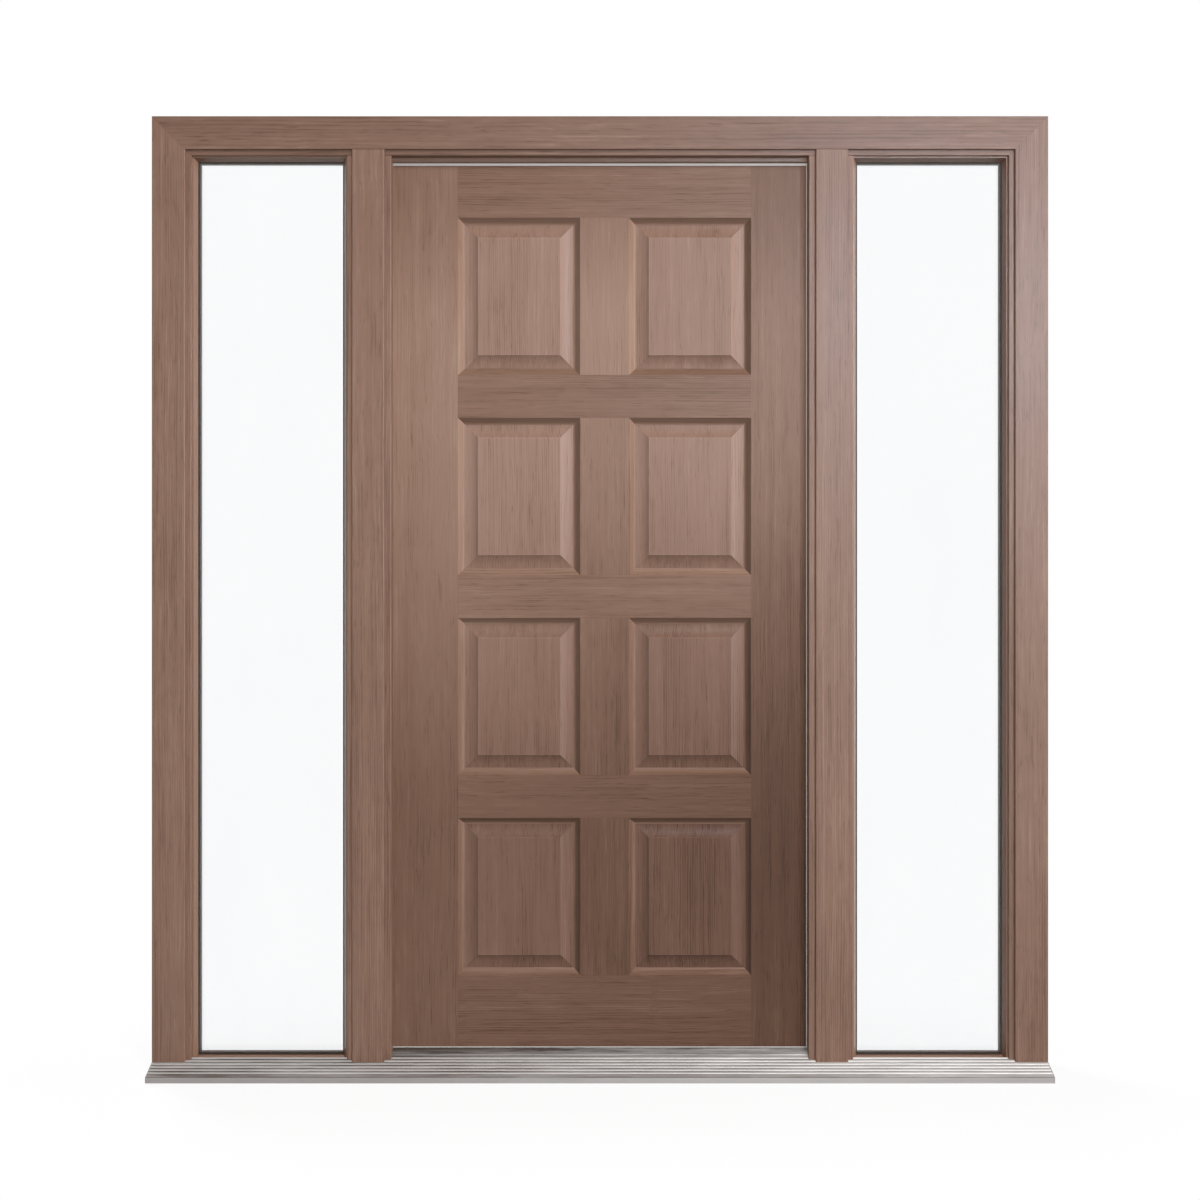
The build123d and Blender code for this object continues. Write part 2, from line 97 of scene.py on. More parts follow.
class Sheet:
    """A node tree that is being filled, with short calls for the nodes that this file uses."""

    def __init__(self, tree: bpy.types.NodeTree) -> None:
        """Starts filling a tree.

        Args:
            tree: The tree.
        """
        self.tree = tree

    def feed(self, socket: Socket, value: Input) -> None:
        """Links a socket to another, or sets its own value.

        Args:
            socket: The input to feed.
            value: A socket to link from, or a plain value.
        """
        if isinstance(value, Socket):
            self.tree.links.new(value, socket)
        else:
            socket.default_value = value

    def add(self, kind: str, inputs: Optional[dict] = None, **settings: object) -> Outputs:
        """Adds a node.

        Args:
            kind: The node's type.
            inputs: What to feed each input with, by its name or number.
            settings: The node's own settings.

        Returns:
            The node's outputs.
        """
        node = self.tree.nodes.new(kind)
        for name, value in settings.items():
            setattr(node, name, value)
        for name, value in (inputs or {}).items():
            self.feed(node.inputs[name], value)
        return node.outputs

    def math(self, operation: str, *values: Input) -> Socket:
        """One step of arithmetic, by the Math node's operation and all the values that it takes."""
        return self.add("ShaderNodeMath", dict(enumerate(values)), operation=operation)[0]

    def total(self, *values: Input) -> Socket:
        """The sum of several values."""
        return reduce(lambda so_far, value: self.math("ADD", so_far, value), values)

    def times(self, *values: Input) -> Socket:
        """The product of several values."""
        return reduce(lambda so_far, value: self.math("MULTIPLY", so_far, value), values)

    def less(self, value: Input, taken: Input) -> Socket:
        """A value less another."""
        return self.math("SUBTRACT", value, taken)

    def swing(self, noise: Input, amount: float) -> Socket:
        """Turns noise about 0.5 into a value about nought, of which a whole step adds the amount."""
        return self.math("MULTIPLY_ADD", noise, amount, -amount / 2)

    def vector(self, operation: str, first: Input, second: Input) -> Outputs:
        """One step of arithmetic on places, by the Vector Math node's operation."""
        return self.add("ShaderNodeVectorMath", {0: first, 1: second}, operation=operation)

    def axes(self, place: Input) -> Outputs:
        """A place's X, Y and Z."""
        return self.add("ShaderNodeSeparateXYZ", {0: place})

    def noise(self, place: Input, scale: Triple, detail: float = 2.0, rough: float = 0.5) -> Socket:
        """Soft noise, about 0.5 on average.

        Args:
            place: Where the pattern is read.
            scale: How many features fit in a metre, for each axis.
            detail: The number of finer layers.
            rough: The share that each finer layer has.

        Returns:
            The noise's socket.
        """
        stretched = self.vector("MULTIPLY", place, scale)[0]
        inputs = {"Vector": stretched, "Scale": 1.0, "Detail": detail, "Roughness": rough}
        return self.add("ShaderNodeTexNoise", inputs)["Fac"]

    def step(self, value: Input, start: Input, stop: Input, low: Input = 0.0, high: Input = 1.0) -> Socket:
        """A smooth step from low to high while a value goes from start to stop.

        Args:
            value: The value read.
            start: Where the step starts.
            stop: Where the step ends.
            low: The result before the step.
            high: The result after it.

        Returns:
            The result's socket.
        """
        inputs = {"Value": value, "From Min": start, "From Max": stop, "To Min": low, "To Max": high}
        return self.add("ShaderNodeMapRange", inputs, interpolation_type="SMOOTHSTEP")["Result"]

    def blend(self, share: Input, below: Input, above: Input) -> Socket:
        """Mixes two colours.

        Args:
            share: The share of the second colour.
            below: The first colour.
            above: The second colour.

        Returns:
            The mixed colour's socket.
        """
        inputs = {0: share, 6: below, 7: above}
        return self.add("ShaderNodeMix", inputs, data_type="RGBA", clamp_factor=True)[2]

    def group(self, kind: type["ShaderGroup"], **inputs: Input) -> Outputs:
        """Places a shader group.

        Args:
            kind: The group's class.
            inputs: What to feed each input with, its name's spaces written as underscores.

        Returns:
            The group's outputs.
        """
        named = {name.replace("_", " "): value for name, value in inputs.items()}
        return self.add("ShaderNodeGroup", named, node_tree=kind.shared())


class ShaderGroup(Sheet):
    """A shader group that several finishes share, built the first time it is asked for.

    Attributes:
        takes: The kind of each input.
        gives: The kind of each output.
        given: The inputs, as the group's own nodes read them.
    """

    takes: dict[str, str] = {}
    gives: dict[str, str] = {}
    given: Outputs

    @classmethod
    def shared(cls) -> bpy.types.NodeTree:
        """Gives the group's node tree, which is built once.

        Returns:
            The node tree.
        """
        tree = bpy.data.node_groups.get(cls.__name__)
        if tree:
            return tree
        tree = bpy.data.node_groups.new(cls.__name__, "ShaderNodeTree")
        for way, sockets in (("INPUT", cls.takes), ("OUTPUT", cls.gives)):
            for name, kind in sockets.items():
                tree.interface.new_socket(name, in_out=way, socket_type=f"NodeSocket{kind}")
        group = cls(tree)
        group.given = group.add("NodeGroupInput")
        group.add("NodeGroupOutput", group.fill())
        return tree

    def fill(self) -> Fed:
        """Adds the group's own nodes.

        Returns:
            What feeds each output.
        """
        raise NotImplementedError


@dataclass(frozen=True)
class Layer:
    """One layer of noise in the timber's figure.

    Attributes:
        across: How many features fit in a metre across the grain.
        along: How many fit along it.
        detail: The number of finer layers.
        rough: The share that each finer layer has.
        tone: What a whole step of it adds to the tone.
        roughness: What it adds to the roughness.
        height: What it adds to the height.
    """

    across: float
    along: float
    detail: float = 2.0
    rough: float = 0.5
    tone: float = 0.0
    roughness: float = 0.0
    height: float = 0.0


class TimberFigure(ShaderGroup):
    """Rings, clouds, ribbon, streaks, bands, fibres and strokes of hardwood, with the grain along Z.

    Attributes:
        layers: The clouds, ribbon, streaks, bands and fibres.
        sway: How far the pith wanders from side to side.
        ripple: How far each ring does.
        weave: How far the grain does.
        ring_tone: What the late wood of a ring adds to the tone.
        ring_height: What it adds to the height.
        year_change: How far the rings' spacing changes over the years.
        stroke_tone: What a short dark stroke adds to it.
        base_tone: The tone of plain timber.
    """

    takes = {
        "Place": "Vector",
        **dict.fromkeys(("Pith X", "Pith Y", "Ring Gap", "Figure"), "Float"),
        **dict.fromkeys(("Pale", "Middle", "Dark"), "Color"),
    }
    gives = {"Colour": "Color", "Roughness": "Float", "Height": "Float"}
    layers = (
        Layer(9.0, 2.6, 3.0, 0.55, tone=0.75, roughness=0.1),
        Layer(60.0, 24.0, tone=0.34),
        Layer(250.0, 5.0, 3.0, 0.62, tone=1.2, height=0.4),
        Layer(70.0, 1.6, tone=0.85),
        Layer(900.0, 15.0, 2.0, 0.55, tone=0.3, roughness=0.12, height=0.5),
    )
    sway = 30.0 * MM
    ripple = 6.0 * MM
    weave = 14.0 * MM
    ring_tone = -0.5
    ring_height = 0.15
    year_change = 1.6
    stroke_tone = -0.5
    base_tone = 0.06

    def fill(self) -> Fed:
        """Adds the group's own nodes.

        Returns:
            What feeds each output.
        """
        given = self.given
        ring = self.rings()
        wander = self.swing(self.noise(given["Place"], (7.0, 7.0, 6.0)), self.weave)
        shift = self.add("ShaderNodeCombineXYZ", {"X": wander, "Y": wander})[0]
        place = self.vector("ADD", given["Place"], shift)[0]
        stroke = self.step(self.noise(place, (460.0, 460.0, 13.0), 2.0, 0.6), 0.56, 0.74)
        parts = {"tone": [], "roughness": [], "height": []}
        for layer in self.layers:
            scale = (layer.across, layer.across, layer.along)
            noise = self.noise(place, scale, layer.detail, layer.rough)
            for effect, swings in parts.items():
                amount = getattr(layer, effect)
                if amount:
                    swings.append(self.swing(noise, amount))
        darker = (self.times(ring, self.ring_tone), self.times(stroke, self.stroke_tone))
        tone = self.times(self.total(*parts["tone"], *darker, self.base_tone), given["Figure"])
        colour = self.blend(self.step(tone, 0.0, 0.75), given["Middle"], given["Pale"])
        colour = self.blend(self.step(tone, 0.0, -0.85), colour, given["Dark"])
        height = self.total(*parts["height"], self.times(ring, self.ring_height))
        return {"Colour": colour, "Roughness": self.total(*parts["roughness"]), "Height": height}

    def rings(self) -> Socket:
        """The dark late wood of each growth ring, round a pith that wanders along the member.

        Returns:
            The late wood's mask, fainter in some places than in others.
        """
        place = self.given["Place"]
        across = self.axes(place)
        off_x = self.total(
            self.less(across["X"], self.given["Pith X"]),
            self.swing(self.noise(place, (2.0, 2.0, 0.8), 1.0), self.sway),
            self.swing(self.noise(place, (24.0, 24.0, 4.5)), self.ripple),
        )
        off_y = self.less(across["Y"], self.given["Pith Y"])
        square = self.total(self.math("POWER", off_x, 2.0), self.math("POWER", off_y, 2.0))
        count = self.math("DIVIDE", self.math("SQRT", square), self.given["Ring Gap"])
        years = {"W": count, "Scale": 0.37, "Detail": 1.0}
        uneven = self.add("ShaderNodeTexNoise", years, noise_dimensions="1D")["Fac"]
        phase = self.math("FRACT", self.total(count, self.swing(uneven, self.year_change)))
        faint = self.step(self.noise(place, (14.0, 14.0, 0.9), 2.0, 0.6), 0.3, 0.7, 0.15, 1.0)
        return self.times(self.step(phase, 0.35, 0.88), self.step(phase, 1.0, 0.93), faint)


class SeamLine(ShaderGroup):
    """The fine dark line where a member meets its neighbour, along a plane."""

    takes = {"Place": "Vector", "Across": "Vector", "Offset": "Float", "Width": "Float"}
    gives = {"Line": "Float"}

    def fill(self) -> Fed:
        """Adds the group's own nodes.

        Returns:
            What feeds each output.
        """
        along = self.vector("DOT_PRODUCT", self.given["Place"], self.given["Across"])["Value"]
        away = self.math("ABSOLUTE", self.less(along, self.given["Offset"]))
        return {"Line": self.step(away, self.given["Width"], 0.0)}


class FieldTone(ShaderGroup):
    """A raised field's edge, and the end grain of the bevels above and below it.

    Attributes:
        rise: How far past the edge the end grain comes up.
        mitre: How far past the bevels' mitre it does.
    """

    takes = {"Place": "Vector", "Middle": "Vector", **dict.fromkeys(("Half X", "Half Z", "Width"), "Float")}
    gives = {"Line": "Float", "End": "Float"}
    rise = 1.5 * MM
    mitre = 0.6 * MM

    def fill(self) -> Fed:
        """Adds the group's own nodes.

        Returns:
            What feeds each output.
        """
        where = self.axes(self.vector("SUBTRACT", self.given["Place"], self.given["Middle"])[0])
        past_x, past_z = (
            self.less(self.math("ABSOLUTE", where[axis]), self.given[f"Half {axis}"]) for axis in "XZ"
        )
        away = self.math("ABSOLUTE", self.math("MAXIMUM", past_x, past_z))
        beyond = self.step(past_z, 0.0, self.rise)
        end = self.times(beyond, self.step(self.less(past_z, past_x), 0.0, self.mitre))
        return {"Line": self.step(away, self.given["Width"], 0.0), "End": end}


class RecessTone(ShaderGroup):
    """How deep a place lies under the nearer of a member's two faces, from 0 to 1, the mask of the painted
    shade in the mouldings.
    """

    takes = {"Place": "Vector", **dict.fromkeys(("Front", "Back", "Depth"), "Float")}
    gives = {"Recess": "Float"}

    def fill(self) -> Fed:
        """Adds the group's own nodes.

        Returns:
            What feeds each output.
        """
        y = self.axes(self.given["Place"])["Y"]
        deep = self.math("MINIMUM", self.less(y, self.given["Front"]), self.less(self.given["Back"], y))
        return {"Recess": self.step(deep, 0.0, self.given["Depth"])}


class PaintedShadeFade(ShaderGroup):
    """Painted shade on the timber: darker towards the foot, more so on the lock side, and darker towards
    the top.

    Attributes:
        high: The height at which the painted shade begins to grow downwards.
        low: The height at which it is deepest.
        drift: How far these heights drift from place to place.
        half_width: Half the leaf's width.
        foot_ease_top: The height under which the painted shade eases a little towards the floor.
        foot_ease_low: The height at which it eases most.
        foot_share: The share of it that is left there.
        crown_foot: The height at which the painted shade begins to grow upwards.
        crown_top: The height at which it is deepest at the top.
    """

    takes = {"Place": "Vector", **dict.fromkeys(("Fade", "Side", "Crown"), "Float")}
    gives = {"Depth": "Float"}
    high = 1.42
    low = 0.42
    drift = 0.25
    half_width = 0.45
    foot_ease_top = 0.34
    foot_ease_low = 0.08
    foot_share = 0.94
    crown_foot = 1.62
    crown_top = 1.96

    def fill(self) -> Fed:
        """Adds the group's own nodes.

        Returns:
            What feeds each output.
        """
        given = self.given
        where = self.axes(given["Place"])
        drift = self.swing(self.noise(given["Place"], (2.5, 2.5, 1.5), 1.0), self.drift)
        # Painted shade: deeper towards the foot, more so on the lock side, eased near the floor, and deeper
        # towards the top.
        foot = self.step(self.total(where["Z"], drift), self.high, self.low)
        sideways = self.step(where["X"], -self.half_width, self.half_width)
        weight = self.total(given["Fade"], self.times(sideways, given["Side"]))
        foot_share = self.step(where["Z"], self.foot_ease_top, self.foot_ease_low, 1.0, self.foot_share)
        crown = self.times(self.step(where["Z"], self.crown_foot, self.crown_top), given["Crown"])
        return {"Depth": self.total(self.times(foot, weight, foot_share), crown)}


class StainAndShadeDepth(ShaderGroup):
    """Timber's colour under a deeper stain and painted shade.

    Attributes:
        shares: How fast the deeper stain and painted shade take each channel away, red a little faster than
            the rest.
    """

    takes = {"Colour": "Color", "Depth": "Float"}
    gives = {"Colour": "Color"}
    shares = {"Red": 1.0, "Green": 0.88, "Blue": 0.84}

    def fill(self) -> Fed:
        """Adds the group's own nodes.

        Returns:
            What feeds each output.
        """
        channels = self.add("ShaderNodeSeparateColor", {"Color": self.given["Colour"]})
        extra = self.less(self.given["Depth"], 1.0)
        deeper = {
            channel: self.math("POWER", channels[channel], self.total(self.times(extra, share), 1.0))
            for channel, share in self.shares.items()
        }
        return {"Colour": self.add("ShaderNodeCombineColor", deeper)["Color"]}


class MetalGrain(ShaderGroup):
    """Draw lines, dull patches and handling marks of bare metal, with the lines along X."""

    takes = {"Place": "Vector", "Line": "Float", "Mark": "Float"}
    gives = {"Tone": "Float", "Roughness": "Float", "Height": "Float"}

    def fill(self) -> Fed:
        """Adds the group's own nodes.

        Returns:
            What feeds each output.
        """
        place = self.given["Place"]
        lines = self.noise(place, (2.2, 420.0, 420.0), 3.0, 0.65)
        fine = self.noise(place, (14.0, 1900.0, 1900.0), 1.0)
        patch = self.noise(place, (7.0, 26.0, 26.0), 3.0, 0.6)
        speck = self.step(self.noise(place, (520.0, 520.0, 520.0), 1.0), 0.68, 0.78)
        drawn = self.times(self.swing(lines, 1.0), self.given["Line"])
        dull = self.times(self.swing(patch, 1.0), self.given["Mark"])
        tone = self.total(1.0, drawn, dull, self.times(speck, self.given["Mark"], -0.6))
        roughness = self.total(self.times(drawn, 0.35), self.times(dull, -0.5), self.swing(fine, 0.08))
        height = self.total(drawn, self.swing(fine, 0.5), self.times(speck, -0.4))
        return {"Tone": tone, "Roughness": roughness, "Height": height}


class DustFilm(ShaderGroup):
    """A thin uneven film of dust, as a mask."""

    takes = {"Place": "Vector", "Amount": "Float"}
    gives = {"Dust": "Float"}

    def fill(self) -> Fed:
        """Adds the group's own nodes.

        Returns:
            What feeds each output.
        """
        wide = self.step(self.noise(self.given["Place"], (16.0, 16.0, 16.0), 4.0, 0.6), 0.35, 0.75)
        grains = self.step(self.noise(self.given["Place"], (700.0, 700.0, 700.0), 1.0), 0.4, 0.7)
        return {"Dust": self.times(wide, grains, self.given["Amount"])}


class Coat(Sheet):
    """A material that is being made, with its shader and its place in the object's own frame."""

    def __init__(self, name: str) -> None:
        """Starts a material.

        Args:
            name: The material's name.
        """
        self.material = bpy.data.materials.new(name)
        self.material.use_nodes = True
        super().__init__(self.material.node_tree)
        self.shader = self.tree.nodes["Principled BSDF"]
        self.place = self.add("ShaderNodeTexCoord")["Object"]

    def mapped(self, turn: Triple, shift: Triple = (0.0, 0.0, 0.0)) -> Socket:
        """The place, turned and then shifted."""
        inputs = {"Vector": self.place, "Rotation": turn, "Location": shift}
        return self.add("ShaderNodeMapping", inputs, vector_type="POINT")["Vector"]

    def cover(self, **inputs: Input) -> None:
        """Feeds the shader's inputs, each name's spaces written as underscores."""
        for name, value in inputs.items():
            self.feed(self.shader.inputs[name.replace("_", " ")], value)

    def bump(self, height: Input, strength: float, distance: float) -> None:
        """Feeds the shader's normal from a height, by the bump's strength and its depth in metres."""
        inputs = {"Height": height, "Strength": strength, "Distance": distance}
        self.cover(Normal=self.add("ShaderNodeBump", inputs)["Normal"])


@dataclass(frozen=True)
class Seam:
    """A joint line: the plane where a member meets its neighbour.

    Attributes:
        across: The plane's normal.
        offset: The plane's distance from the origin along it.
    """

    across: Triple
    offset: float


@dataclass(frozen=True)
class Field:
    """The raised field in a panel's middle.

    Attributes:
        middle: The panel's middle.
        half_width: Half the field's width.
        half_height: Half its height.
        line_width: How far the lightened band along its edge reaches.
        line: How much darker its edge is painted; the negative value paints it lighter, as painted light
            against the shade there.
        end: How much deeper it lies in the end grain of the bevels above and below.
    """

    middle: Triple
    half_width: float
    half_height: float
    line_width: float = 3.0 * MM
    # Painted light: the field's edge is painted a little lighter, against the shade at its shoulder.
    line: float = -0.06
    end: float = 0.17


@dataclass(frozen=True)
class TimberFinish:
    """Stained and lacquered hardwood.

    Attributes:
        pale: The lightest stain.
        middle: The most common tone.
        dark: The streaks' tone.
        ring_gap: The growth rings' spacing.
        figure: How strongly the figure shows.
        recess: How much painted shade lies in the mouldings; a negative value paints them lighter, as
            painted light.
        front: The depth of the member's outside face.
        back: The depth of its inside face.
        depth: How far under these faces the mouldings go.
        fade: How much painted shade grows towards the foot.
        side: How much more it does so on the lock side.
        crown: How much painted shade grows towards the top.
        recess_spared: The share of these three that the mouldings are spared.
        seam: How much deeper the stain lies along a joint line.
        seam_width: The joint lines' width.
        roughness: The surface's roughness on average.
        specular: The surface's specular level.
        relief: The strength of the grain's relief.
        relief_depth: The relief's depth.
    """

    pale: Colour
    middle: Colour
    dark: Colour
    ring_gap: float = 4.2 * MM
    figure: float = 1.0
    recess: float = 0.0
    front: float = 0.0
    back: float = 95.0 * MM
    depth: float = 30.0 * MM
    fade: float = 0.0
    side: float = 0.0
    crown: float = 0.0
    recess_spared: float = 0.0
    seam: float = 0.25
    seam_width: float = 1.1 * MM
    roughness: float = 0.42
    specular: float = 0.45
    relief: float = 0.3
    relief_depth: float = 0.35 * MM

    def material(
        self, member: "Member", seed: float, seams: Sequence[Seam], field: Optional[Field]
    ) -> Material:
        """Makes one member's material, cut from its own place in the tree.

        Args:
            member: The member.
            seed: How far along the tree it was cut.
            seams: Its joint lines.
            field: Its raised field, if it has one.

        Returns:
            The material.
        """
        coat = Coat(member.node)
        turn = (0.0, member.grain.value, 0.0)
        middle = Vector(member.middle())
        middle.rotate(Euler(turn))
        figure = coat.group(
            TimberFigure,
            Place=coat.mapped(turn, (-middle.x, -middle.y, seed - middle.z)),
            Pith_X=member.pith[0],
            Pith_Y=member.pith[1],
            Ring_Gap=self.ring_gap,
            Figure=self.figure,
            Pale=self.pale,
            Middle=self.middle,
            Dark=self.dark,
        )
        deep = coat.total(member.stain_depth, *self.deeper(coat, seams, field))
        coat.cover(
            Base_Color=coat.group(StainAndShadeDepth, Colour=figure["Colour"], Depth=deep)["Colour"],
            Roughness=coat.total(figure["Roughness"], self.roughness),
            Specular_IOR_Level=self.specular,
        )
        coat.bump(figure["Height"], self.relief, self.relief_depth)
        return coat.material

    def deeper(self, coat: Coat, seams: Sequence[Seam], field: Optional[Field]) -> list[Socket]:
        """Lists what makes a member's stain deeper, and the shade painted on it, from place to place.

        Args:
            coat: The member's material.
            seams: Its joint lines.
            field: Its raised field, if it has one.

        Returns:
            What each adds to the depth of stain and painted shade.
        """
        place = coat.place
        # Painted shade in the mouldings, by how deep they lie under the faces; a negative share paints them
        # lighter.
        recess = coat.group(RecessTone, Place=place, Front=self.front, Back=self.back, Depth=self.depth)
        recess = recess["Recess"]
        parts = [coat.times(recess, self.recess)]
        # Painted shade towards the foot, the lock side and the top, which the mouldings are spared in part.
        if self.fade or self.crown:
            fade = coat.group(PaintedShadeFade, Place=place, Fade=self.fade, Side=self.side, Crown=self.crown)
            spared = coat.math("MULTIPLY_ADD", recess, -self.recess_spared, 1.0)
            parts.append(coat.times(fade["Depth"], spared))
        for seam in seams:
            plane = {"Across": seam.across, "Offset": seam.offset, "Width": self.seam_width}
            parts.append(coat.times(coat.group(SeamLine, Place=place, **plane)["Line"], self.seam))
        if field:
            half = {"Half_X": field.half_width, "Half_Z": field.half_height}
            tone = coat.group(FieldTone, Place=place, Middle=field.middle, Width=field.line_width, **half)
            # The field's edge is painted lighter, as painted light; the end grain of its bevels stains
            # deeper.
            parts += [coat.times(tone["Line"], field.line), coat.times(tone["End"], field.end)]
        return parts


@dataclass(frozen=True)
class MetalFinish:
    """Bare or brushed metal.

    Attributes:
        colour: The metal's own colour.
        roughness: Its roughness on average.
        metallic: How metallic it looks under its film of dirt.
        line: How strongly its draw lines show.
        mark: How strongly its dull patches show.
        grime_and_shade: The colour of the grime and painted shade on it, where there is any.
        grime_and_shade_share: How much grime and painted shade there is at most.
        grime_roughness: How much rougher the surface is where it lies.
        relief: The strength of the draw lines' relief.
        relief_depth: The relief's depth.
    """

    colour: Triple
    roughness: float
    metallic: float
    line: float = 0.35
    mark: float = 0.25
    grime_and_shade: Optional[Colour] = None
    grime_and_shade_share: float = 0.75
    grime_roughness: float = 0.35
    relief: float = 0.25
    relief_depth: float = 0.12 * MM

    def material(
        self,
        name: str,
        turn: Triple = (0.0, 0.0, 0.0),
        grime_and_shade_mask: Optional[Callable[[Coat], Socket]] = None,
    ) -> Material:
        """Makes the metal's material.

        Args:
            name: The material's name.
            turn: The turn that brings the draw lines along X.
            grime_and_shade_mask: Gives the mask of grime and painted shade, if there is one.

        Returns:
            The material.
        """
        coat = Coat(name)
        grain = coat.group(MetalGrain, Place=coat.mapped(turn), Line=self.line, Mark=self.mark)
        toned = {0: self.colour, "Scale": grain["Tone"]}
        colour = coat.add("ShaderNodeVectorMath", toned, operation="SCALE")[0]
        rough = coat.total(grain["Roughness"], self.roughness)
        if grime_and_shade_mask:
            # Grime and painted shade, mixed into the colour.
            share = coat.times(grime_and_shade_mask(coat), self.grime_and_shade_share)
            colour = coat.blend(share, colour, self.grime_and_shade)
            rough = coat.total(rough, coat.times(share, self.grime_roughness))
        coat.cover(Base_Color=colour, Roughness=rough, Metallic=self.metallic)
        coat.bump(grain["Height"], self.relief, self.relief_depth)
        return coat.material


@dataclass(frozen=True)
class SoftFinish:
    """Rubber or plastic with a faint mould texture and a little dust.

    Attributes:
        colour: Its own colour.
        dust: The colour of the dust on it.
        roughness: Its roughness on average.
        dust_share: How much dust there is at most.
        pebble: How many grains of its texture fit in a metre.
        relief: The strength of the texture's relief.
        relief_depth: The relief's depth.
    """

    colour: Colour
    dust: Colour
    roughness: float = 0.55
    dust_share: float = 0.4
    pebble: float = 1500.0
    relief: float = 0.25
    relief_depth: float = 0.1 * MM

    def material(self, name: str) -> Material:
        """Makes the material.

        Args:
            name: The material's name.

        Returns:
            The material.
        """
        coat = Coat(name)
        film = coat.group(DustFilm, Place=coat.place, Amount=self.dust_share)["Dust"]
        grains = coat.noise(coat.place, (self.pebble, self.pebble, self.pebble))
        cloud = coat.noise(coat.place, (30.0, 30.0, 30.0))
        own = coat.blend(coat.step(cloud, 0.3, 0.8, 0.0, 0.25), self.colour, self.dust)
        rough = coat.total(self.roughness, coat.swing(grains, 0.1), coat.swing(cloud, 0.12))
        coat.cover(Base_Color=coat.blend(film, own, self.dust), Roughness=rough)
        coat.bump(grains, self.relief, self.relief_depth)
        return coat.material


@dataclass(frozen=True)
class GlassFinish:
    """Clear float glass with faint wiping marks.

    Attributes:
        colour: The tint of light that passes it.
        smeared: The tint where it was wiped.
        smear: The roughness of the wiping marks.
        index: Its refractive index.
    """

    colour: Colour = (0.976, 0.978, 0.982, 1.0)
    smeared: Colour = (0.97, 0.973, 0.977, 1.0)
    smear: float = 0.03
    index: float = 1.5

    def material(self, name: str) -> Material:
        """Makes the material.

        Args:
            name: The material's name.

        Returns:
            The material.
        """
        coat = Coat(name)
        wipe = coat.noise(coat.place, (9.0, 9.0, 3.0), 4.0, 0.6)
        coat.cover(
            Base_Color=coat.blend(coat.step(wipe, 0.3, 0.8), self.colour, self.smeared),
            Roughness=coat.step(wipe, 0.45, 0.8, 0.0, self.smear),
            Transmission_Weight=1.0,
            IOR=self.index,
        )
        return coat.material


def dress(material: Material, *nodes: str) -> list[str]:
    """Puts a finish on CAD nodes' own slots.

    Args:
        material: The finish.
        nodes: The CAD nodes' names.

    Returns:
        The nodes' names.
    """
    for node in nodes:
        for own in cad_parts[node].material_slots:
            own.material = material
    return list(nodes)


# Timber


@dataclass(frozen=True)
class Plank:
    """The plank that a run of members is cut from, one after the other.

    Attributes:
        start: Where the first is cut, along the tree.
        spacing: How far on each next one is.
    """

    start: float
    spacing: float

    def cut(self, count: int) -> float:
        """Where a member is cut, by its number from nought."""
        return self.start + self.spacing * count


@dataclass(frozen=True)
class Member:
    """One piece of timber.

    Attributes:
        node: The CAD node.
        grain: The way its grain runs.
        pith: Where the pith lies from its middle, across the grain.
        stain_depth: How deep its stain is, 1 for the finish's own tones.
    """

    node: str
    grain: Grain
    pith: tuple[float, float] = (0.2, 0.1)
    stain_depth: float = 1.0

    def middle(self) -> Triple:
        """The middle of the node's box."""
        low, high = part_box(self.node)
        return tuple((low + high) / 2)

    def butt_seams(self) -> list[Seam]:
        """Finds the joint lines at both square ends.

        Returns:
            The line at its low end, and the one at its high end.
        """
        low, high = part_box(self.node)
        if self.grain is Grain.UPRIGHT:
            return [Seam((0.0, 0.0, 1.0), end.z) for end in (low, high)]
        return [Seam((1.0, 0.0, 0.0), end.x) for end in (low, high)]

    def dressed(
        self, finish: TimberFinish, seed: float, seams: Sequence[Seam], field: Optional[Field] = None
    ) -> list[str]:
        """Puts the member's own material on its node.

        Args:
            finish: The timber's finish.
            seed: How far along the tree the member was cut.
            seams: Its joint lines.
            field: Its raised field, if it has one.

        Returns:
            The node's name.
        """
        return dress(finish.material(self, seed, seams, field), self.node)


def mitres(low: Vector, high: Vector, top: bool) -> list[Seam]:
    """The joint lines of a mitred rectangle's left and right corners.

    Args:
        low: The rectangle's low corner.
        high: Its high corner.
        top: True for its top corners, and False for its bottom ones.

    Returns:
        The joint lines.
    """
    height, inwards = (high.z, -1.0) if top else (low.z, 1.0)
    lines = []
    for x, along in ((low.x, 1.0), (high.x, -1.0)):
        across = Vector((inwards, 0.0, -along)).normalized()
        lines.append(Seam(tuple(across), across.dot(Vector((x, 0.0, height)))))
    return lines


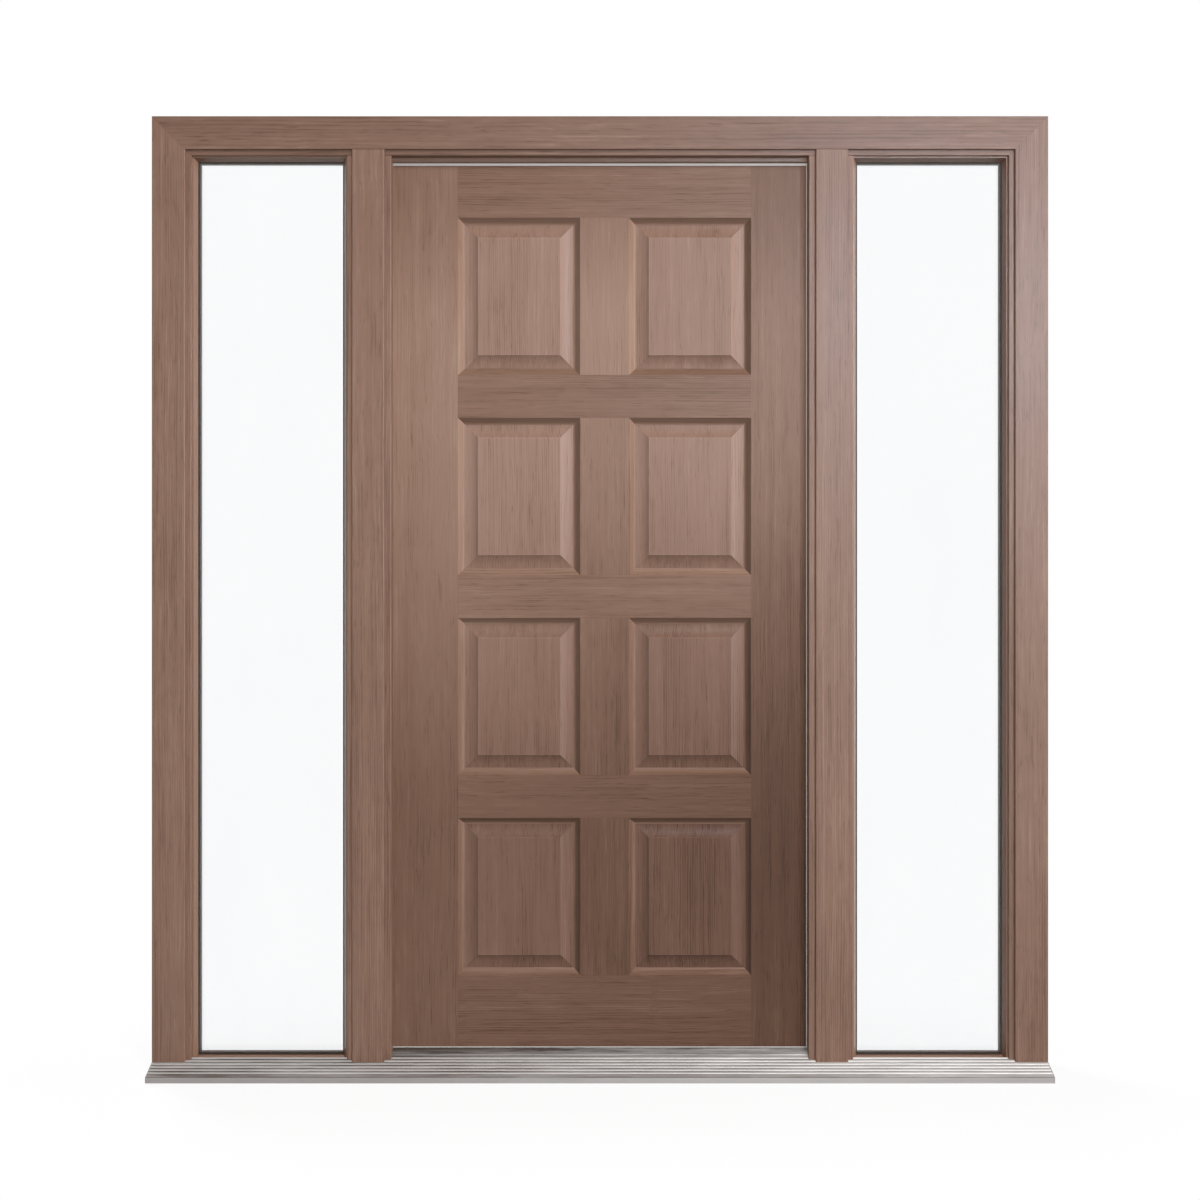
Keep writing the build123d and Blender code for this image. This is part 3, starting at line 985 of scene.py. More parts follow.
@dataclass
class FrameTimber:
    """The stained frame: head, jambs, mullions, glazing beads and the stops at the lights' feet.

    Attributes:
        finish: The large members' finish.
        bead_finish: The finish of the beads and stops.
        members: The large members.
        plank: The plank that they are cut from.
        bead_planks: The planks of the left and right light's beads.
        stop_plank: The stops' plank.
    """

    finish: TimberFinish = TimberFinish(
        pale=stain(150, 122, 105),
        middle=stain(133, 103, 87),
        dark=stain(108, 79, 62),
        figure=1.35,
        # recess, fade and crown paint shade: in the mouldings, towards the foot and towards the top.
        recess=0.12,
        fade=0.04,
        crown=0.09,
        seam=0.14,
    )
    bead_finish: TimberFinish = TimberFinish(
        pale=stain(150, 119, 99),
        middle=stain(133, 101, 83),
        dark=stain(108, 78, 60),
        figure=0.6,
        seam_width=0.7 * MM,
        roughness=0.33,
        specular=0.55,
    )
    members: tuple[Member, ...] = (
        Member("head", Grain.LEVEL, (0.11, 0.16), 1.09),
        Member("jamb_left", Grain.UPRIGHT, (0.35, 0.12), 1.0),
        Member("jamb_right", Grain.UPRIGHT, (-0.3, 0.16), 1.03),
        Member("mullion_left", Grain.UPRIGHT, (-0.26, 0.14), 1.01),
        Member("mullion_right", Grain.UPRIGHT, (0.22, 0.1), 1.0),
    )
    plank: Plank = Plank(11.3, 11.3)
    bead_planks: tuple[Plank, Plank] = (Plank(70.0, 3.7), Plank(90.0, 3.7))
    stop_plank: Plank = Plank(110.0, 9.0)

    def seams(self, member: Member) -> list[Seam]:
        """A large member's joint lines: mitres at the frame's top corners, square ends elsewhere.

        Args:
            member: The member.

        Returns:
            Its joint lines.
        """
        left, right = mitres(*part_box("head"), top=True)
        if member.node == "head":
            return [left, right]
        foot, top = member.butt_seams()
        return [foot, {"jamb_left": left, "jamb_right": right}.get(member.node, top)]

    def dress_beads(self, side: str, plank: Plank) -> list[str]:
        """Puts a finish on the mitred beads of one light.

        Args:
            side: The light's side, left or right.
            plank: The plank that its beads are cut from.

        Returns:
            The dressed nodes.
        """
        edges = ("top", "bottom", "inner", "outer")
        lows, highs = zip(*(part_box(f"bead_{side}_{edge}") for edge in edges))
        low = Vector([min(corner[axis] for corner in lows) for axis in range(3)])
        high = Vector([max(corner[axis] for corner in highs) for axis in range(3)])
        corners = {"top": mitres(low, high, top=True), "bottom": mitres(low, high, top=False)}
        names = []
        for count, edge in enumerate(edges):
            grain = Grain.LEVEL if edge in corners else Grain.UPRIGHT
            bead = Member(f"bead_{side}_{edge}", grain, (0.2 + 0.05 * count, 0.1))
            seams = corners.get(edge, corners["top"] + corners["bottom"])
            names += bead.dressed(self.bead_finish, plank.cut(count), seams)
        return names

    def build(self) -> list[str]:
        """Dresses the frame's timber.

        Returns:
            The dressed nodes.
        """
        names = []
        for count, member in enumerate(self.members):
            names += member.dressed(self.finish, self.plank.cut(count), self.seams(member))
        for count, side in enumerate(SIDES):
            stop = Member(f"base_stop_{side}", Grain.LEVEL)
            names += self.dress_beads(side, self.bead_planks[count])
            names += stop.dressed(self.bead_finish, self.stop_plank.cut(count), stop.butt_seams())
        return names


@dataclass
class LeafTimber:
    """The panelled leaf: stiles, rails, muntins and eight raised and fielded panels.

    Attributes:
        panel_margin: How far a panel's field lies inside its edge.
        member_finish: The finish of the stiles, rails and muntins.
        panel_finish: The panels' finish.
        members: The stiles, rails and muntins.
        plank: The plank that they are cut from.
        panel_plank: The panels' plank.
        row_depths: The stain's depth in each row of panels, from the top down.
        right_deeper: How much deeper it is in the panels on the right.
    """

    panel_margin: float = 38.5 * MM
    member_finish: TimberFinish = TimberFinish(
        pale=stain(161, 134, 118),
        middle=stain(145, 116, 100),
        dark=stain(121, 92, 75),
        figure=1.05,
        # recess, fade, side and crown paint shade: in the mouldings, towards the foot, on the lock side and
        # towards the top; the mouldings are spared part of it.
        recess=0.04,
        front=51.0 * MM,
        depth=11.0 * MM,
        fade=0.42,
        side=0.27,
        crown=0.25,
        recess_spared=0.6,
        roughness=0.4,
        specular=0.25,
        ring_gap=3.4 * MM,
        seam_width=0.9 * MM,
    )
    panel_finish: TimberFinish = TimberFinish(
        pale=stain(169, 141, 125),
        middle=stain(154, 125, 110),
        dark=stain(128, 99, 82),
        # The negative recess paints the bevels lighter, as painted light; fade and side paint shade towards
        # the foot and the lock side.
        recess=-0.04,
        front=55.0 * MM,
        back=91.0 * MM,
        depth=7.0 * MM,
        fade=0.44,
        side=0.3,
        roughness=0.4,
        specular=0.25,
        ring_gap=3.6 * MM,
    )
    members: tuple[Member, ...] = (
        Member("hinge_stile", Grain.UPRIGHT, (0.34, 0.2), 0.97),
        Member("lock_stile", Grain.UPRIGHT, (-0.36, 0.14), 1.16),
        Member("top_rail", Grain.LEVEL, (0.26, 0.2), 1.04),
        Member("mid_rail_1", Grain.LEVEL, (-0.3, 0.16), 1.19),
        Member("mid_rail_2", Grain.LEVEL, (0.33, 0.16), 0.99),
        Member("mid_rail_3", Grain.LEVEL, (-0.28, 0.2), 0.97),
        Member("bottom_rail", Grain.LEVEL, (0.3, 0.2), 0.98),
        Member("muntin_1", Grain.UPRIGHT, (0.26, 0.1), 0.93),
        Member("muntin_2", Grain.UPRIGHT, (-0.24, 0.12), 1.04),
        Member("muntin_3", Grain.UPRIGHT, (0.3, 0.14), 1.0),
        Member("muntin_4", Grain.UPRIGHT, (-0.28, 0.1), 1.05),
    )
    plank: Plank = Plank(130.0, 6.1)
    panel_plank: Plank = Plank(230.0, 5.3)
    row_depths: tuple[float, ...] = (1.07, 1.0, 0.98, 1.01)
    right_deeper: float = 0.05

    def panels(self) -> list[Member]:
        """Lists the eight panels, from the top row down.

        Returns:
            The panels, each row's left one first.
        """
        panels = []
        for row, deep in enumerate(self.row_depths, start=1):
            for side, sign, more in (("left", 1.0, 0.0), ("right", -1.0, self.right_deeper)):
                pith = (sign * (0.2 + 0.04 * row), 0.12 + 0.02 * row)
                panels.append(Member(f"panel_{row}_{side}", Grain.UPRIGHT, pith, deep + more))
        return panels

    def field(self, panel: Member) -> Field:
        """A panel's raised field, inside its tongues and bevels.

        Args:
            panel: The panel.

        Returns:
            The field.
        """
        low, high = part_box(panel.node)
        half = (high - low) / 2
        return Field(panel.middle(), half.x - self.panel_margin, half.z - self.panel_margin)

    def build(self) -> list[str]:
        """Dresses the leaf's timber.

        Returns:
            The dressed nodes.
        """
        names = []
        for count, member in enumerate(self.members):
            names += member.dressed(self.member_finish, self.plank.cut(count), member.butt_seams())
        for count, panel in enumerate(self.panels()):
            names += panel.dressed(self.panel_finish, self.panel_plank.cut(count), [], self.field(panel))
        return names


# Metal, glass and plastic nodes


@dataclass
class SillMetal:
    """The ribbed sill, its end caps and the threshold.

    Attributes:
        projection: How far the sill stands out in front of the frame.
        nose: The height of its front edge.
        slope: The rise of its tread for each metre inwards.
        rib: The height of the ribs on it.
        filled: The share of that height up to which grime and painted shade lie between them.
        front: How far inwards the painted shade on its front edge reaches.
        upstand_foot: The height of the foot of the threshold's upstand, above which the leaf's shade is
            painted on it.
        upstand_blur: How far above and below it the painted shade on the upstand sets in.
        upstand_shade: The share of painted shade on the upstand.
        smudge: The share of grime in the threshold's smudges.
        left_shade_from: Where the painted shade begins, going left.
        left_shade_to: Where it is deepest.
        sill_left_shade: The share of painted shade there on the sill.
        threshold_left_shade: The share there on the threshold.
        finish: The sill's finish.
        threshold_finish: The threshold's finish.
        cap_finish: The end caps' finish.
    """

    projection: float = 60.0 * MM
    nose: float = 13.0 * MM
    slope: float = 19.0 / 80.0
    rib: float = 1.4 * MM
    filled: float = 0.75
    front: float = 1.5 * MM
    upstand_foot: float = 40.0 * MM
    upstand_blur: float = 3.0 * MM
    upstand_shade: float = 0.5
    smudge: float = 0.5
    left_shade_from: float = 0.75
    left_shade_to: float = -0.6
    sill_left_shade: float = 0.46
    threshold_left_shade: float = 0.9
    # Each grime colour below stands for grime and for painted shade alike.
    finish: MetalFinish = MetalFinish(
        colour=(0.84, 0.81, 0.785), roughness=0.5, metallic=0.35, grime_and_shade=stain(102, 91, 84)
    )
    threshold_finish: MetalFinish = MetalFinish(
        colour=(0.57, 0.54, 0.518), roughness=0.46, metallic=0.5, mark=0.4, grime_and_shade=stain(76, 66, 60)
    )
    cap_finish: SoftFinish = SoftFinish(colour=stain(142, 138, 136), dust=stain(178, 172, 166))

    def sill_grime_and_shade(self, coat: Coat) -> Socket:
        """The mask of grime and painted shade on the sill: grime and painted shade between its ribs,
        painted shade on its front edge and towards its left end.

        Args:
            coat: The sill's material.

        Returns:
            The mask's socket.
        """
        where = coat.axes(coat.place)
        inwards = coat.total(where["Y"], self.projection)
        above = coat.less(where["Z"], coat.math("MULTIPLY_ADD", inwards, self.slope, self.nose))
        # Grime and painted shade between the ribs, on the tread.
        groove = coat.step(above, self.rib * self.filled, 0.0)
        tread = coat.step(above, -1.2 * MM, -0.4 * MM)
        uneven = coat.step(coat.noise(coat.place, (5.0, 40.0, 40.0), 3.0, 0.6), 0.25, 0.7, 0.4, 0.85)
        # Painted shade on the front edge, more of it towards the right end.
        nose_shade = coat.step(where["X"], -0.3, 0.95, 0.41, 0.8)
        nose = coat.step(inwards, self.front, 0.0, 0.0, nose_shade)
        return coat.total(coat.times(groove, tread, uneven), nose, self.left_shade(coat, self.sill_left_shade))

    def smudges(self, coat: Coat) -> Socket:
        """The mask of grime and painted shade on the threshold: grime in smudges, painted shade on its
        upstand and towards its left end.

        Args:
            coat: The threshold's material.

        Returns:
            The mask's socket.
        """
        smudge = coat.step(coat.noise(coat.place, (6.0, 90.0, 90.0), 4.0, 0.65), 0.42, 0.68)
        low, high = self.upstand_foot - self.upstand_blur, self.upstand_foot + self.upstand_blur
        # Painted shade of the leaf on the upstand.
        upstand = coat.step(coat.axes(coat.place)["Z"], low, high, 0.0, self.upstand_shade)
        # Painted shade towards the left end.
        dull = self.left_shade(coat, self.threshold_left_shade)
        return coat.total(coat.times(smudge, self.smudge), upstand, dull)

    def left_shade(self, coat: Coat, most: float) -> Socket:
        """How much painted shade lies towards the metal's left end, up to a share."""
        return coat.step(coat.axes(coat.place)["X"], self.left_shade_from, self.left_shade_to, 0.0, most)

    def build(self) -> list[str]:
        """Dresses the sill's nodes.

        Returns:
            The dressed nodes.
        """
        return [
            *dress(self.finish.material("sill_metal", grime_and_shade_mask=self.sill_grime_and_shade), "sill"),
            *dress(self.threshold_finish.material("threshold_metal", grime_and_shade_mask=self.smudges), "threshold"),
            *dress(self.cap_finish.material("end_cap_plastic"), "sill_end_caps"),
        ]


@dataclass
class SideLights:
    """The sealed units, their bronze spacers and the gaskets that the beads press on them.

    Attributes:
        near: The rebate wall beside the mullion.
        far: The rebate wall beside the jamb.
        foot: The height of the rebate's foot.
        top: The height of the rebate's top.
        sight: How far the beads cover the glass.
        lip: How wide the gasket's visible lip is.
        stand: How far the lip stands off the glass.
        rounding: The width of the rounding along the lip.
        faces: The depth of the unit's outside and inside face, and which way its lip stands out.
        glass: The panes' finish.
        spacer: The spacers' finish.
        rubber: The gaskets' finish.
    """

    near: float = 552.0 * MM
    far: float = 891.0 * MM
    foot: float = 23.0 * MM
    top: float = 2001.0 * MM
    sight: float = 9.0 * MM
    lip: float = 1.5 * MM
    stand: float = 2.2 * MM
    rounding: float = 0.5 * MM
    faces: tuple[tuple[str, float, float], ...] = (("outside", 40.0 * MM, -1.0), ("inside", 64.0 * MM, 1.0))
    glass: GlassFinish = GlassFinish()
    spacer: SoftFinish = SoftFinish(colour=stain(78, 66, 58), dust=stain(104, 92, 84), dust_share=0.15)
    rubber: SoftFinish = SoftFinish(colour=stain(66, 52, 43), dust=stain(100, 86, 76), dust_share=0.3)

    def gasket(self, side: str, face: str, depth: float, towards: float) -> Piece:
        """Models the gasket lip on one face of one unit.

        Args:
            side: The light's side, left or right.
            face: outside or inside.
            depth: The depth of the glass face it lies on.
            towards: -1 where it stands out towards -Y, and 1 for +Y.

        Returns:
            The gasket.
        """
        width = self.far - self.near - 2 * self.sight
        height = self.top - self.foot - 2 * self.sight
        middle = (SIDES[side] * (self.near + self.far) / 2, depth, (self.top + self.foot) / 2)
        ring = picture_ring(f"gasket_{side}_{face}", middle, width, height, self.lip, self.stand * towards)
        round_edges(ring, lambda end: abs(end.y - depth) > self.stand * NEARLY, self.rounding)
        return ring

    def build(self) -> list[str]:
        """Dresses the units and models their gaskets.

        Returns:
            The dressed nodes and the new pieces.
        """
        names = dress(self.glass.material("clear_glass"), *(f"glass_{side}" for side in SIDES))
        names += dress(self.spacer.material("spacer_bronze"), *(f"spacer_{side}" for side in SIDES))
        rubber = self.rubber.material("gasket_rubber")
        for side in SIDES:
            for face in self.faces:
                names.append(finish_piece(self.gasket(side, *face), rubber, "frame"))
        return names


# Modelling


def alone(*pieces: Piece) -> None:
    """Leaves edit mode and selects these pieces alone, the first of them active.

    Args:
        pieces: The pieces, or none before a primitive is added.
    """
    if bpy.context.object and bpy.context.object.mode != "OBJECT":
        bpy.ops.object.mode_set(mode="OBJECT")
    bpy.ops.object.select_all(action="DESELECT")
    for piece in pieces:
        piece.select_set(True)
    if pieces:
        bpy.context.view_layer.objects.active = pieces[0]


def in_place(name: str, scale: Triple = (1.0, 1.0, 1.0)) -> Piece:
    """Names the active piece and puts its place, turn and size in its mesh.

    Args:
        name: The piece's name.
        scale: How much it is stretched along each axis.

    Returns:
        The piece.
    """
    piece = bpy.context.object
    piece.name = name
    piece.scale = scale
    bpy.ops.object.transform_apply(location=True, rotation=True, scale=True)
    return piece


def nothing_picked(kind: str) -> None:
    """Deselects all of the active piece's mesh, and leaves edit mode.

    Args:
        kind: What is picked next, FACE or EDGE.
    """
    bpy.ops.object.mode_set(mode="EDIT")
    bpy.ops.mesh.select_mode(type=kind)
    bpy.ops.mesh.select_all(action="DESELECT")
    bpy.ops.object.mode_set(mode="OBJECT")


def pick_faces(piece: Piece, wanted: Picker) -> None:
    """Selects a piece's faces by their normal, and goes to edit mode.

    Args:
        piece: The active piece.
        wanted: Says whether the face with that normal is wanted.
    """
    nothing_picked("FACE")
    for face in piece.data.polygons:
        face.select = wanted(face.normal)
    bpy.ops.object.mode_set(mode="EDIT")


def pick_edges(piece: Piece, wanted: Picker) -> None:
    """Selects a piece's edges both of whose ends are wanted, and goes to edit mode.

    Args:
        piece: The active piece.
        wanted: Says whether the end at that place is wanted.
    """
    nothing_picked("EDGE")
    points = piece.data.vertices
    for edge in piece.data.edges:
        edge.select = all(wanted(points[end].co) for end in edge.vertices)
    bpy.ops.object.mode_set(mode="EDIT")


def picture_ring(
    name: str, middle: Triple, width: float, height: float, band: float, thickness: float
) -> Piece:
    """Models a flat rectangular ring, mitred at its corners, in the frame's plane.

    Args:
        name: The piece's name.
        middle: The middle of its back face.
        width: Its outer width.
        height: Its outer height.
        band: How wide its band is.
        thickness: Its thickness, negative towards -Y.

    Returns:
        The ring, its place in its mesh.
    """
    alone()
    bpy.ops.mesh.primitive_plane_add(size=1.0, location=middle, rotation=(QUARTER_TURN, 0.0, 0.0))
    ring = in_place(name, (width, height, 1.0))
    bpy.ops.object.mode_set(mode="EDIT")
    bpy.ops.mesh.select_all(action="SELECT")
    bpy.ops.mesh.inset(thickness=band, depth=0.0)
    bpy.ops.mesh.delete(type="FACE")
    bpy.ops.mesh.select_all(action="SELECT")
    bpy.ops.mesh.extrude_region_move(TRANSFORM_OT_translate={"value": (0.0, thickness, 0.0)})
    bpy.ops.mesh.select_all(action="SELECT")
    bpy.ops.mesh.normals_make_consistent(inside=False)
    bpy.ops.object.mode_set(mode="OBJECT")
    return ring


def round_edges(piece: Piece, wanted: Picker, radius: float) -> None:
    """Rounds a piece's edges by their place.

    Args:
        piece: The piece.
        wanted: Says whether the end at that place belongs to an edge to round.
        radius: The width of the rounding.
    """
    pick_edges(piece, wanted)
    bpy.ops.mesh.bevel(offset=radius, segments=3, profile=0.5, affect="EDGES")
    bpy.ops.object.mode_set(mode="OBJECT")
    bpy.ops.object.shade_smooth_by_angle(angle=SMOOTH_UNDER)


def finish_piece(piece: Piece, material: Material, body: str) -> str:
    """Gives a new piece its finish and its body.

    Args:
        piece: The piece, its place in its mesh.
        material: Its finish.
        body: The body that it rides on.

    Returns:
        The piece's name.
    """
    piece.data.name = piece.name
    piece.data.materials.clear()
    piece.data.materials.append(material)
    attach(piece, body)
    return piece.name


# Seals and hinges


@dataclass
class DoorSeal:
    """The soft seal on the frame's stop and on the threshold, all round the closed leaf.

    Attributes:
        half: The seal's outer edge, from the middle of the doorway.
        foot: The height of its foot.
        top: The height of its top edge.
        band: How wide it is.
        head_lip: How much wider it is under the head, where its lip shows.
        lock_lip: How much wider it is on the lock side.
        stop_back: The depth of the face that it is stuck to.
        thickness: How far it stands off that face.
        rounding: The width of the rounding along it.
        doorway_half: Half the doorway's width between the stops.
        stop_foot: The height of the underside of the head's stop.
        carrier_depth: How deep the carrier under that stop is.
        carrier_height: How high it is.
        carrier_rounding: The width of the rounding along its lower front edge.
        rubber: The seal's finish.
        carrier_finish: The carrier's finish, brown and darker than the frame's timber, as painted shade of
            the soffit under the head.
    """

    half: float = 463.0 * MM
    foot: float = 41.4 * MM
    top: float = 2007.5 * MM
    band: float = 6.0 * MM
    head_lip: float = 16.0 * MM
    lock_lip: float = 3.4 * MM
    stop_back: float = 46.0 * MM
    thickness: float = 4.0 * MM
    rounding: float = 1.6 * MM
    doorway_half: float = 455.0 * MM
    stop_foot: float = 2001.0 * MM
    carrier_depth: float = 9.0 * MM
    carrier_height: float = 10.5 * MM
    carrier_rounding: float = 3.0 * MM
    rubber: SoftFinish = SoftFinish(
        colour=stain(204, 200, 196), dust=stain(180, 174, 168), dust_share=0.15
    )
    # Darker than the frame's timber: painted shade of the soffit under the head's stop.
    carrier_finish: SoftFinish = SoftFinish(
        colour=stain(118, 90, 74), dust=stain(140, 112, 96), roughness=0.4
    )

    def seal(self) -> Piece:
        """Models the seal, its inner edge drawn out under the head and along the lock side.

        Returns:
            The seal.
        """
        middle = (0.0, self.stop_back, (self.top + self.foot) / 2)
        height = self.top - self.foot
        ring = picture_ring("door_seal", middle, 2 * self.half, height, self.band, self.thickness)
        near = 1.0 * MM
        under = self.top - self.band
        inner = self.half - self.band
        pick_edges(ring, lambda end: abs(end.z - under) < near and abs(end.x) < inner + near)
        bpy.ops.transform.translate(value=(0.0, 0.0, -self.head_lip))
        pick_edges(ring, lambda end: abs(end.x - inner) < near and end.z < under + near)
        bpy.ops.transform.translate(value=(-self.lock_lip, 0.0, 0.0))
        inside = self.stop_back + self.thickness * NEARLY
        round_edges(ring, lambda end: end.y > inside, self.rounding)
        return ring

    def carrier(self) -> Piece:
        """Models the carrier under the head's stop, its lower front edge rounded off.

        Returns:
            The carrier.
        """
        alone()
        middle = (0.0, self.stop_back - self.carrier_depth / 2, self.stop_foot - self.carrier_height / 2)
        bpy.ops.mesh.primitive_cube_add(size=1.0, location=middle)
        size = (2 * self.doorway_half, self.carrier_depth, self.carrier_height)
        strip = in_place("seal_carrier", size)
        front = self.stop_back - self.carrier_depth * NEARLY
        low = self.stop_foot - self.carrier_height * NEARLY
        round_edges(strip, lambda end: end.y < front and end.z < low, self.carrier_rounding)
        return strip

    def build(self) -> list[str]:
        """Models the seal and its carrier.

        Returns:
            The new pieces.
        """
        rubber = self.rubber.material("seal_rubber")
        carrier = self.carrier_finish.material("seal_carrier")
        return [
            finish_piece(self.seal(), rubber, "frame"),
            finish_piece(self.carrier(), carrier, "frame"),
        ]


@dataclass
class HingeSet:
    """The three butt hinges' finish, and the countersunk screws in their flaps.

    Attributes:
        heights: The height of each hinge's middle.
        screw_rises: How far each screw lies above or below that middle.
        screw_depths: The depths of the outer and inner screws.
        frame_face: Where the frame's flaps show their face, across.
        leaf_face: Where the leaf's flaps show theirs.
        proud: How far a screw's head stands off its flap.
        head_radius: The head's radius.
        head_depth: Its depth.
        head_sides: How many sides stand for its circle.
        smooth_under: The angle up to which its sides are shaded as one curve.
        head_taper: Its back's size as a share of its face's.
        head_rim: The share of its radius that the chamfer round its face takes.
        crown: How far its face stands up inside the chamfer.
        slot: The depth, length and width of one slot of its cross recess.
        slot_taper: The size of the slot's foot as a share of its top's.
        driven: How far round each next screw was driven.
        driven_on: How far round each next hinge's screws were.
        steel: The hinges' finish.
        screw_steel: The screws' finish.
    """

    heights: tuple[float, ...] = (303.0 * MM, 1056.0 * MM, 1809.0 * MM)
    screw_rises: tuple[float, ...] = (-36.0 * MM, -13.0 * MM, 13.0 * MM, 36.0 * MM)
    screw_depths: tuple[float, ...] = (71.0 * MM, 86.0 * MM)
    frame_face: float = -466.0 * MM
    leaf_face: float = -465.0 * MM
    proud: float = 0.15 * MM
    head_radius: float = 4.0 * MM
    head_depth: float = 2.0 * MM
    head_sides: int = 28
    smooth_under: float = math.radians(35)
    head_taper: float = 0.5
    head_rim: float = 0.12
    crown: float = 0.12 * MM
    slot: Triple = (1.2 * MM, 4.6 * MM, 0.9 * MM)
    slot_taper: float = 0.55
    driven: float = 0.7
    driven_on: float = 1.3
    steel: MetalFinish = MetalFinish((0.32, 0.308, 0.29), 0.58, metallic=0.85, line=0.25, mark=0.2)
    screw_steel: MetalFinish = MetalFinish((0.38, 0.366, 0.345), 0.5, metallic=0.85, line=0.15, mark=0.15)

    def screw_head(self) -> Piece:
        """Models one countersunk head with a cross recess, its face on x = 0 and looking along +X.

        Returns:
            The head.
        """
        alone()
        bpy.ops.mesh.primitive_cylinder_add(
            vertices=self.head_sides,
            radius=self.head_radius,
            depth=self.head_depth,
            location=(-self.head_depth / 2, 0.0, 0.0),
            rotation=(0.0, QUARTER_TURN, 0.0),
        )
        head = in_place("screw_head")
        pick_faces(head, lambda normal: normal.x < -NEARLY)
        back = (1.0, self.head_taper, self.head_taper)
        bpy.ops.transform.resize(value=back, center_override=(-self.head_depth, 0.0, 0.0))
        pick_faces(head, lambda normal: normal.x > NEARLY)
        bpy.ops.mesh.inset(thickness=self.head_radius * self.head_rim, depth=0.0)
        bpy.ops.transform.translate(value=(self.crown, 0.0, 0.0))
        for turn in (0.0, QUARTER_TURN):
            self.cut_slot(head, turn)
        bpy.ops.object.shade_smooth_by_angle(angle=self.smooth_under)
        return head

    def cut_slot(self, head: Piece, turn: float) -> None:
        """Cuts one slot of the cross recess, and leaves the head selected alone.

        Args:
            head: The screw head.
            turn: The slot's turn about X.
        """
        alone()
        bpy.ops.mesh.primitive_cube_add(size=1.0, location=(0.0, 0.0, 0.0), rotation=(turn, 0.0, 0.0))
        deep, long, wide = self.slot
        cutter = in_place("slot_cutter", (2 * deep, long, wide))
        pick_faces(cutter, lambda normal: normal.x < -NEARLY)
        foot = (1.0, self.slot_taper, self.slot_taper)
        bpy.ops.transform.resize(value=foot, center_override=(-deep, 0.0, 0.0))
        alone(head)
        cut = head.modifiers.new("slot", "BOOLEAN")
        cut.operation = "DIFFERENCE"
        cut.solver = "EXACT"
        cut.object = cutter
        bpy.ops.object.modifier_apply(modifier=cut.name)
        bpy.data.objects.remove(cutter, do_unlink=True)

    def screws(self, name: str, head: Piece, face: float, looks: float, body: str) -> str:
        """Sets a copy of the head in every place of one side's flaps.

        Args:
            name: The piece's name.
            head: The screw head that is copied.
            face: Where the flaps show their face, across.
            looks: 1 where the faces look along +X, and -1 for -X.
            body: The body that the flaps ride on.

        Returns:
            The piece's name.
        """
        copies = []
        for hinge, height in enumerate(self.heights):
            for count, rise in enumerate(self.screw_rises):
                place = (face + looks * self.proud, self.screw_depths[count % 2], height + rise)
                turn = self.driven * count + self.driven_on * hinge
                copies.append(self.placed(head, place, looks, turn))
        alone(*copies)
        bpy.ops.object.join()
        return finish_piece(in_place(name), self.screw_steel.material(name), body)

    def placed(self, head: Piece, place: Triple, looks: float, turn: float) -> Piece:
        """Copies the screw head to one place, with its own mesh.

        Args:
            head: The screw head that is copied.
            place: The middle of the copy's face.
            looks: 1 where the face looks along +X, and -1 for -X.
            turn: How far the screw was driven round.

        Returns:
            The copy.
        """
        copy = head.copy()
        copy.data = head.data.copy()
        bpy.context.scene.collection.objects.link(copy)
        alone(copy)
        copy.rotation_mode = "XYZ"
        copy.rotation_euler = (turn, 0.0, 0.0 if looks > 0 else math.pi)
        copy.location = place
        return in_place(copy.name)

    def build(self) -> list[str]:
        """Dresses the hinges and sets their screws.

        Returns:
            The dressed nodes and the new pieces.
        """
        steel = self.steel.material("hinge_steel", turn=(0.0, QUARTER_TURN, 0.0))
        names = dress(steel, "hinge_frame_flaps", "hinge_door_flaps", "hinge_pins")
        head = self.screw_head()
        names.append(self.screws("hinge_screws_frame", head, self.frame_face, 1.0, "frame"))
        names.append(self.screws("hinge_screws_leaf", head, self.leaf_face, -1.0, "leaf"))
        bpy.data.objects.remove(head, do_unlink=True)
        return names


# Studio


@dataclass(frozen=True)
class Lamp:
    """A soft lamp that looks at the doorset's middle and isn't seen itself.

    Attributes:
        name: Its name.
        place: Where it stands.
        power: Its power in watts.
        size: Its width and height.
        colour: Its colour.
        glossy: Whether gloss shows it.
        diffuse: Whether it lights matt surfaces.
        shadow: Whether it throws shadows.
    """

    name: str
    place: Triple
    power: float
    size: tuple[float, float] = (2.4, 2.4)
    colour: Triple = (1.0, 1.0, 1.0)
    glossy: bool = True
    diffuse: bool = True
    shadow: bool = True

    def hang(self, aim: Triple) -> None:
        """Adds the lamp.

        Args:
            aim: What it looks at.
        """
        data = bpy.data.lights.new(self.name, "AREA")
        data.shape = "RECTANGLE"
        data.size, data.size_y = self.size
        data.energy = self.power
        data.color = self.colour
        data.use_shadow = self.shadow
        light = bpy.data.objects.new(self.name, data)
        light.location = self.place
        light.rotation_euler = (Vector(aim) - light.location).to_track_quat("-Z", "Y").to_euler()
        light.visible_camera = False
        light.visible_transmission = False
        light.visible_glossy = self.glossy
        light.visible_diffuse = self.diffuse
        bpy.context.scene.collection.objects.link(light)


def sheen(name: str, place: Triple, power: float, size: tuple[float, float]) -> Lamp:
    """A cool lamp that shows in gloss alone, as a highlight along the bevels that face it."""
    return Lamp(name, place, power, size, colour=(0.78, 0.87, 1.0), diffuse=False)


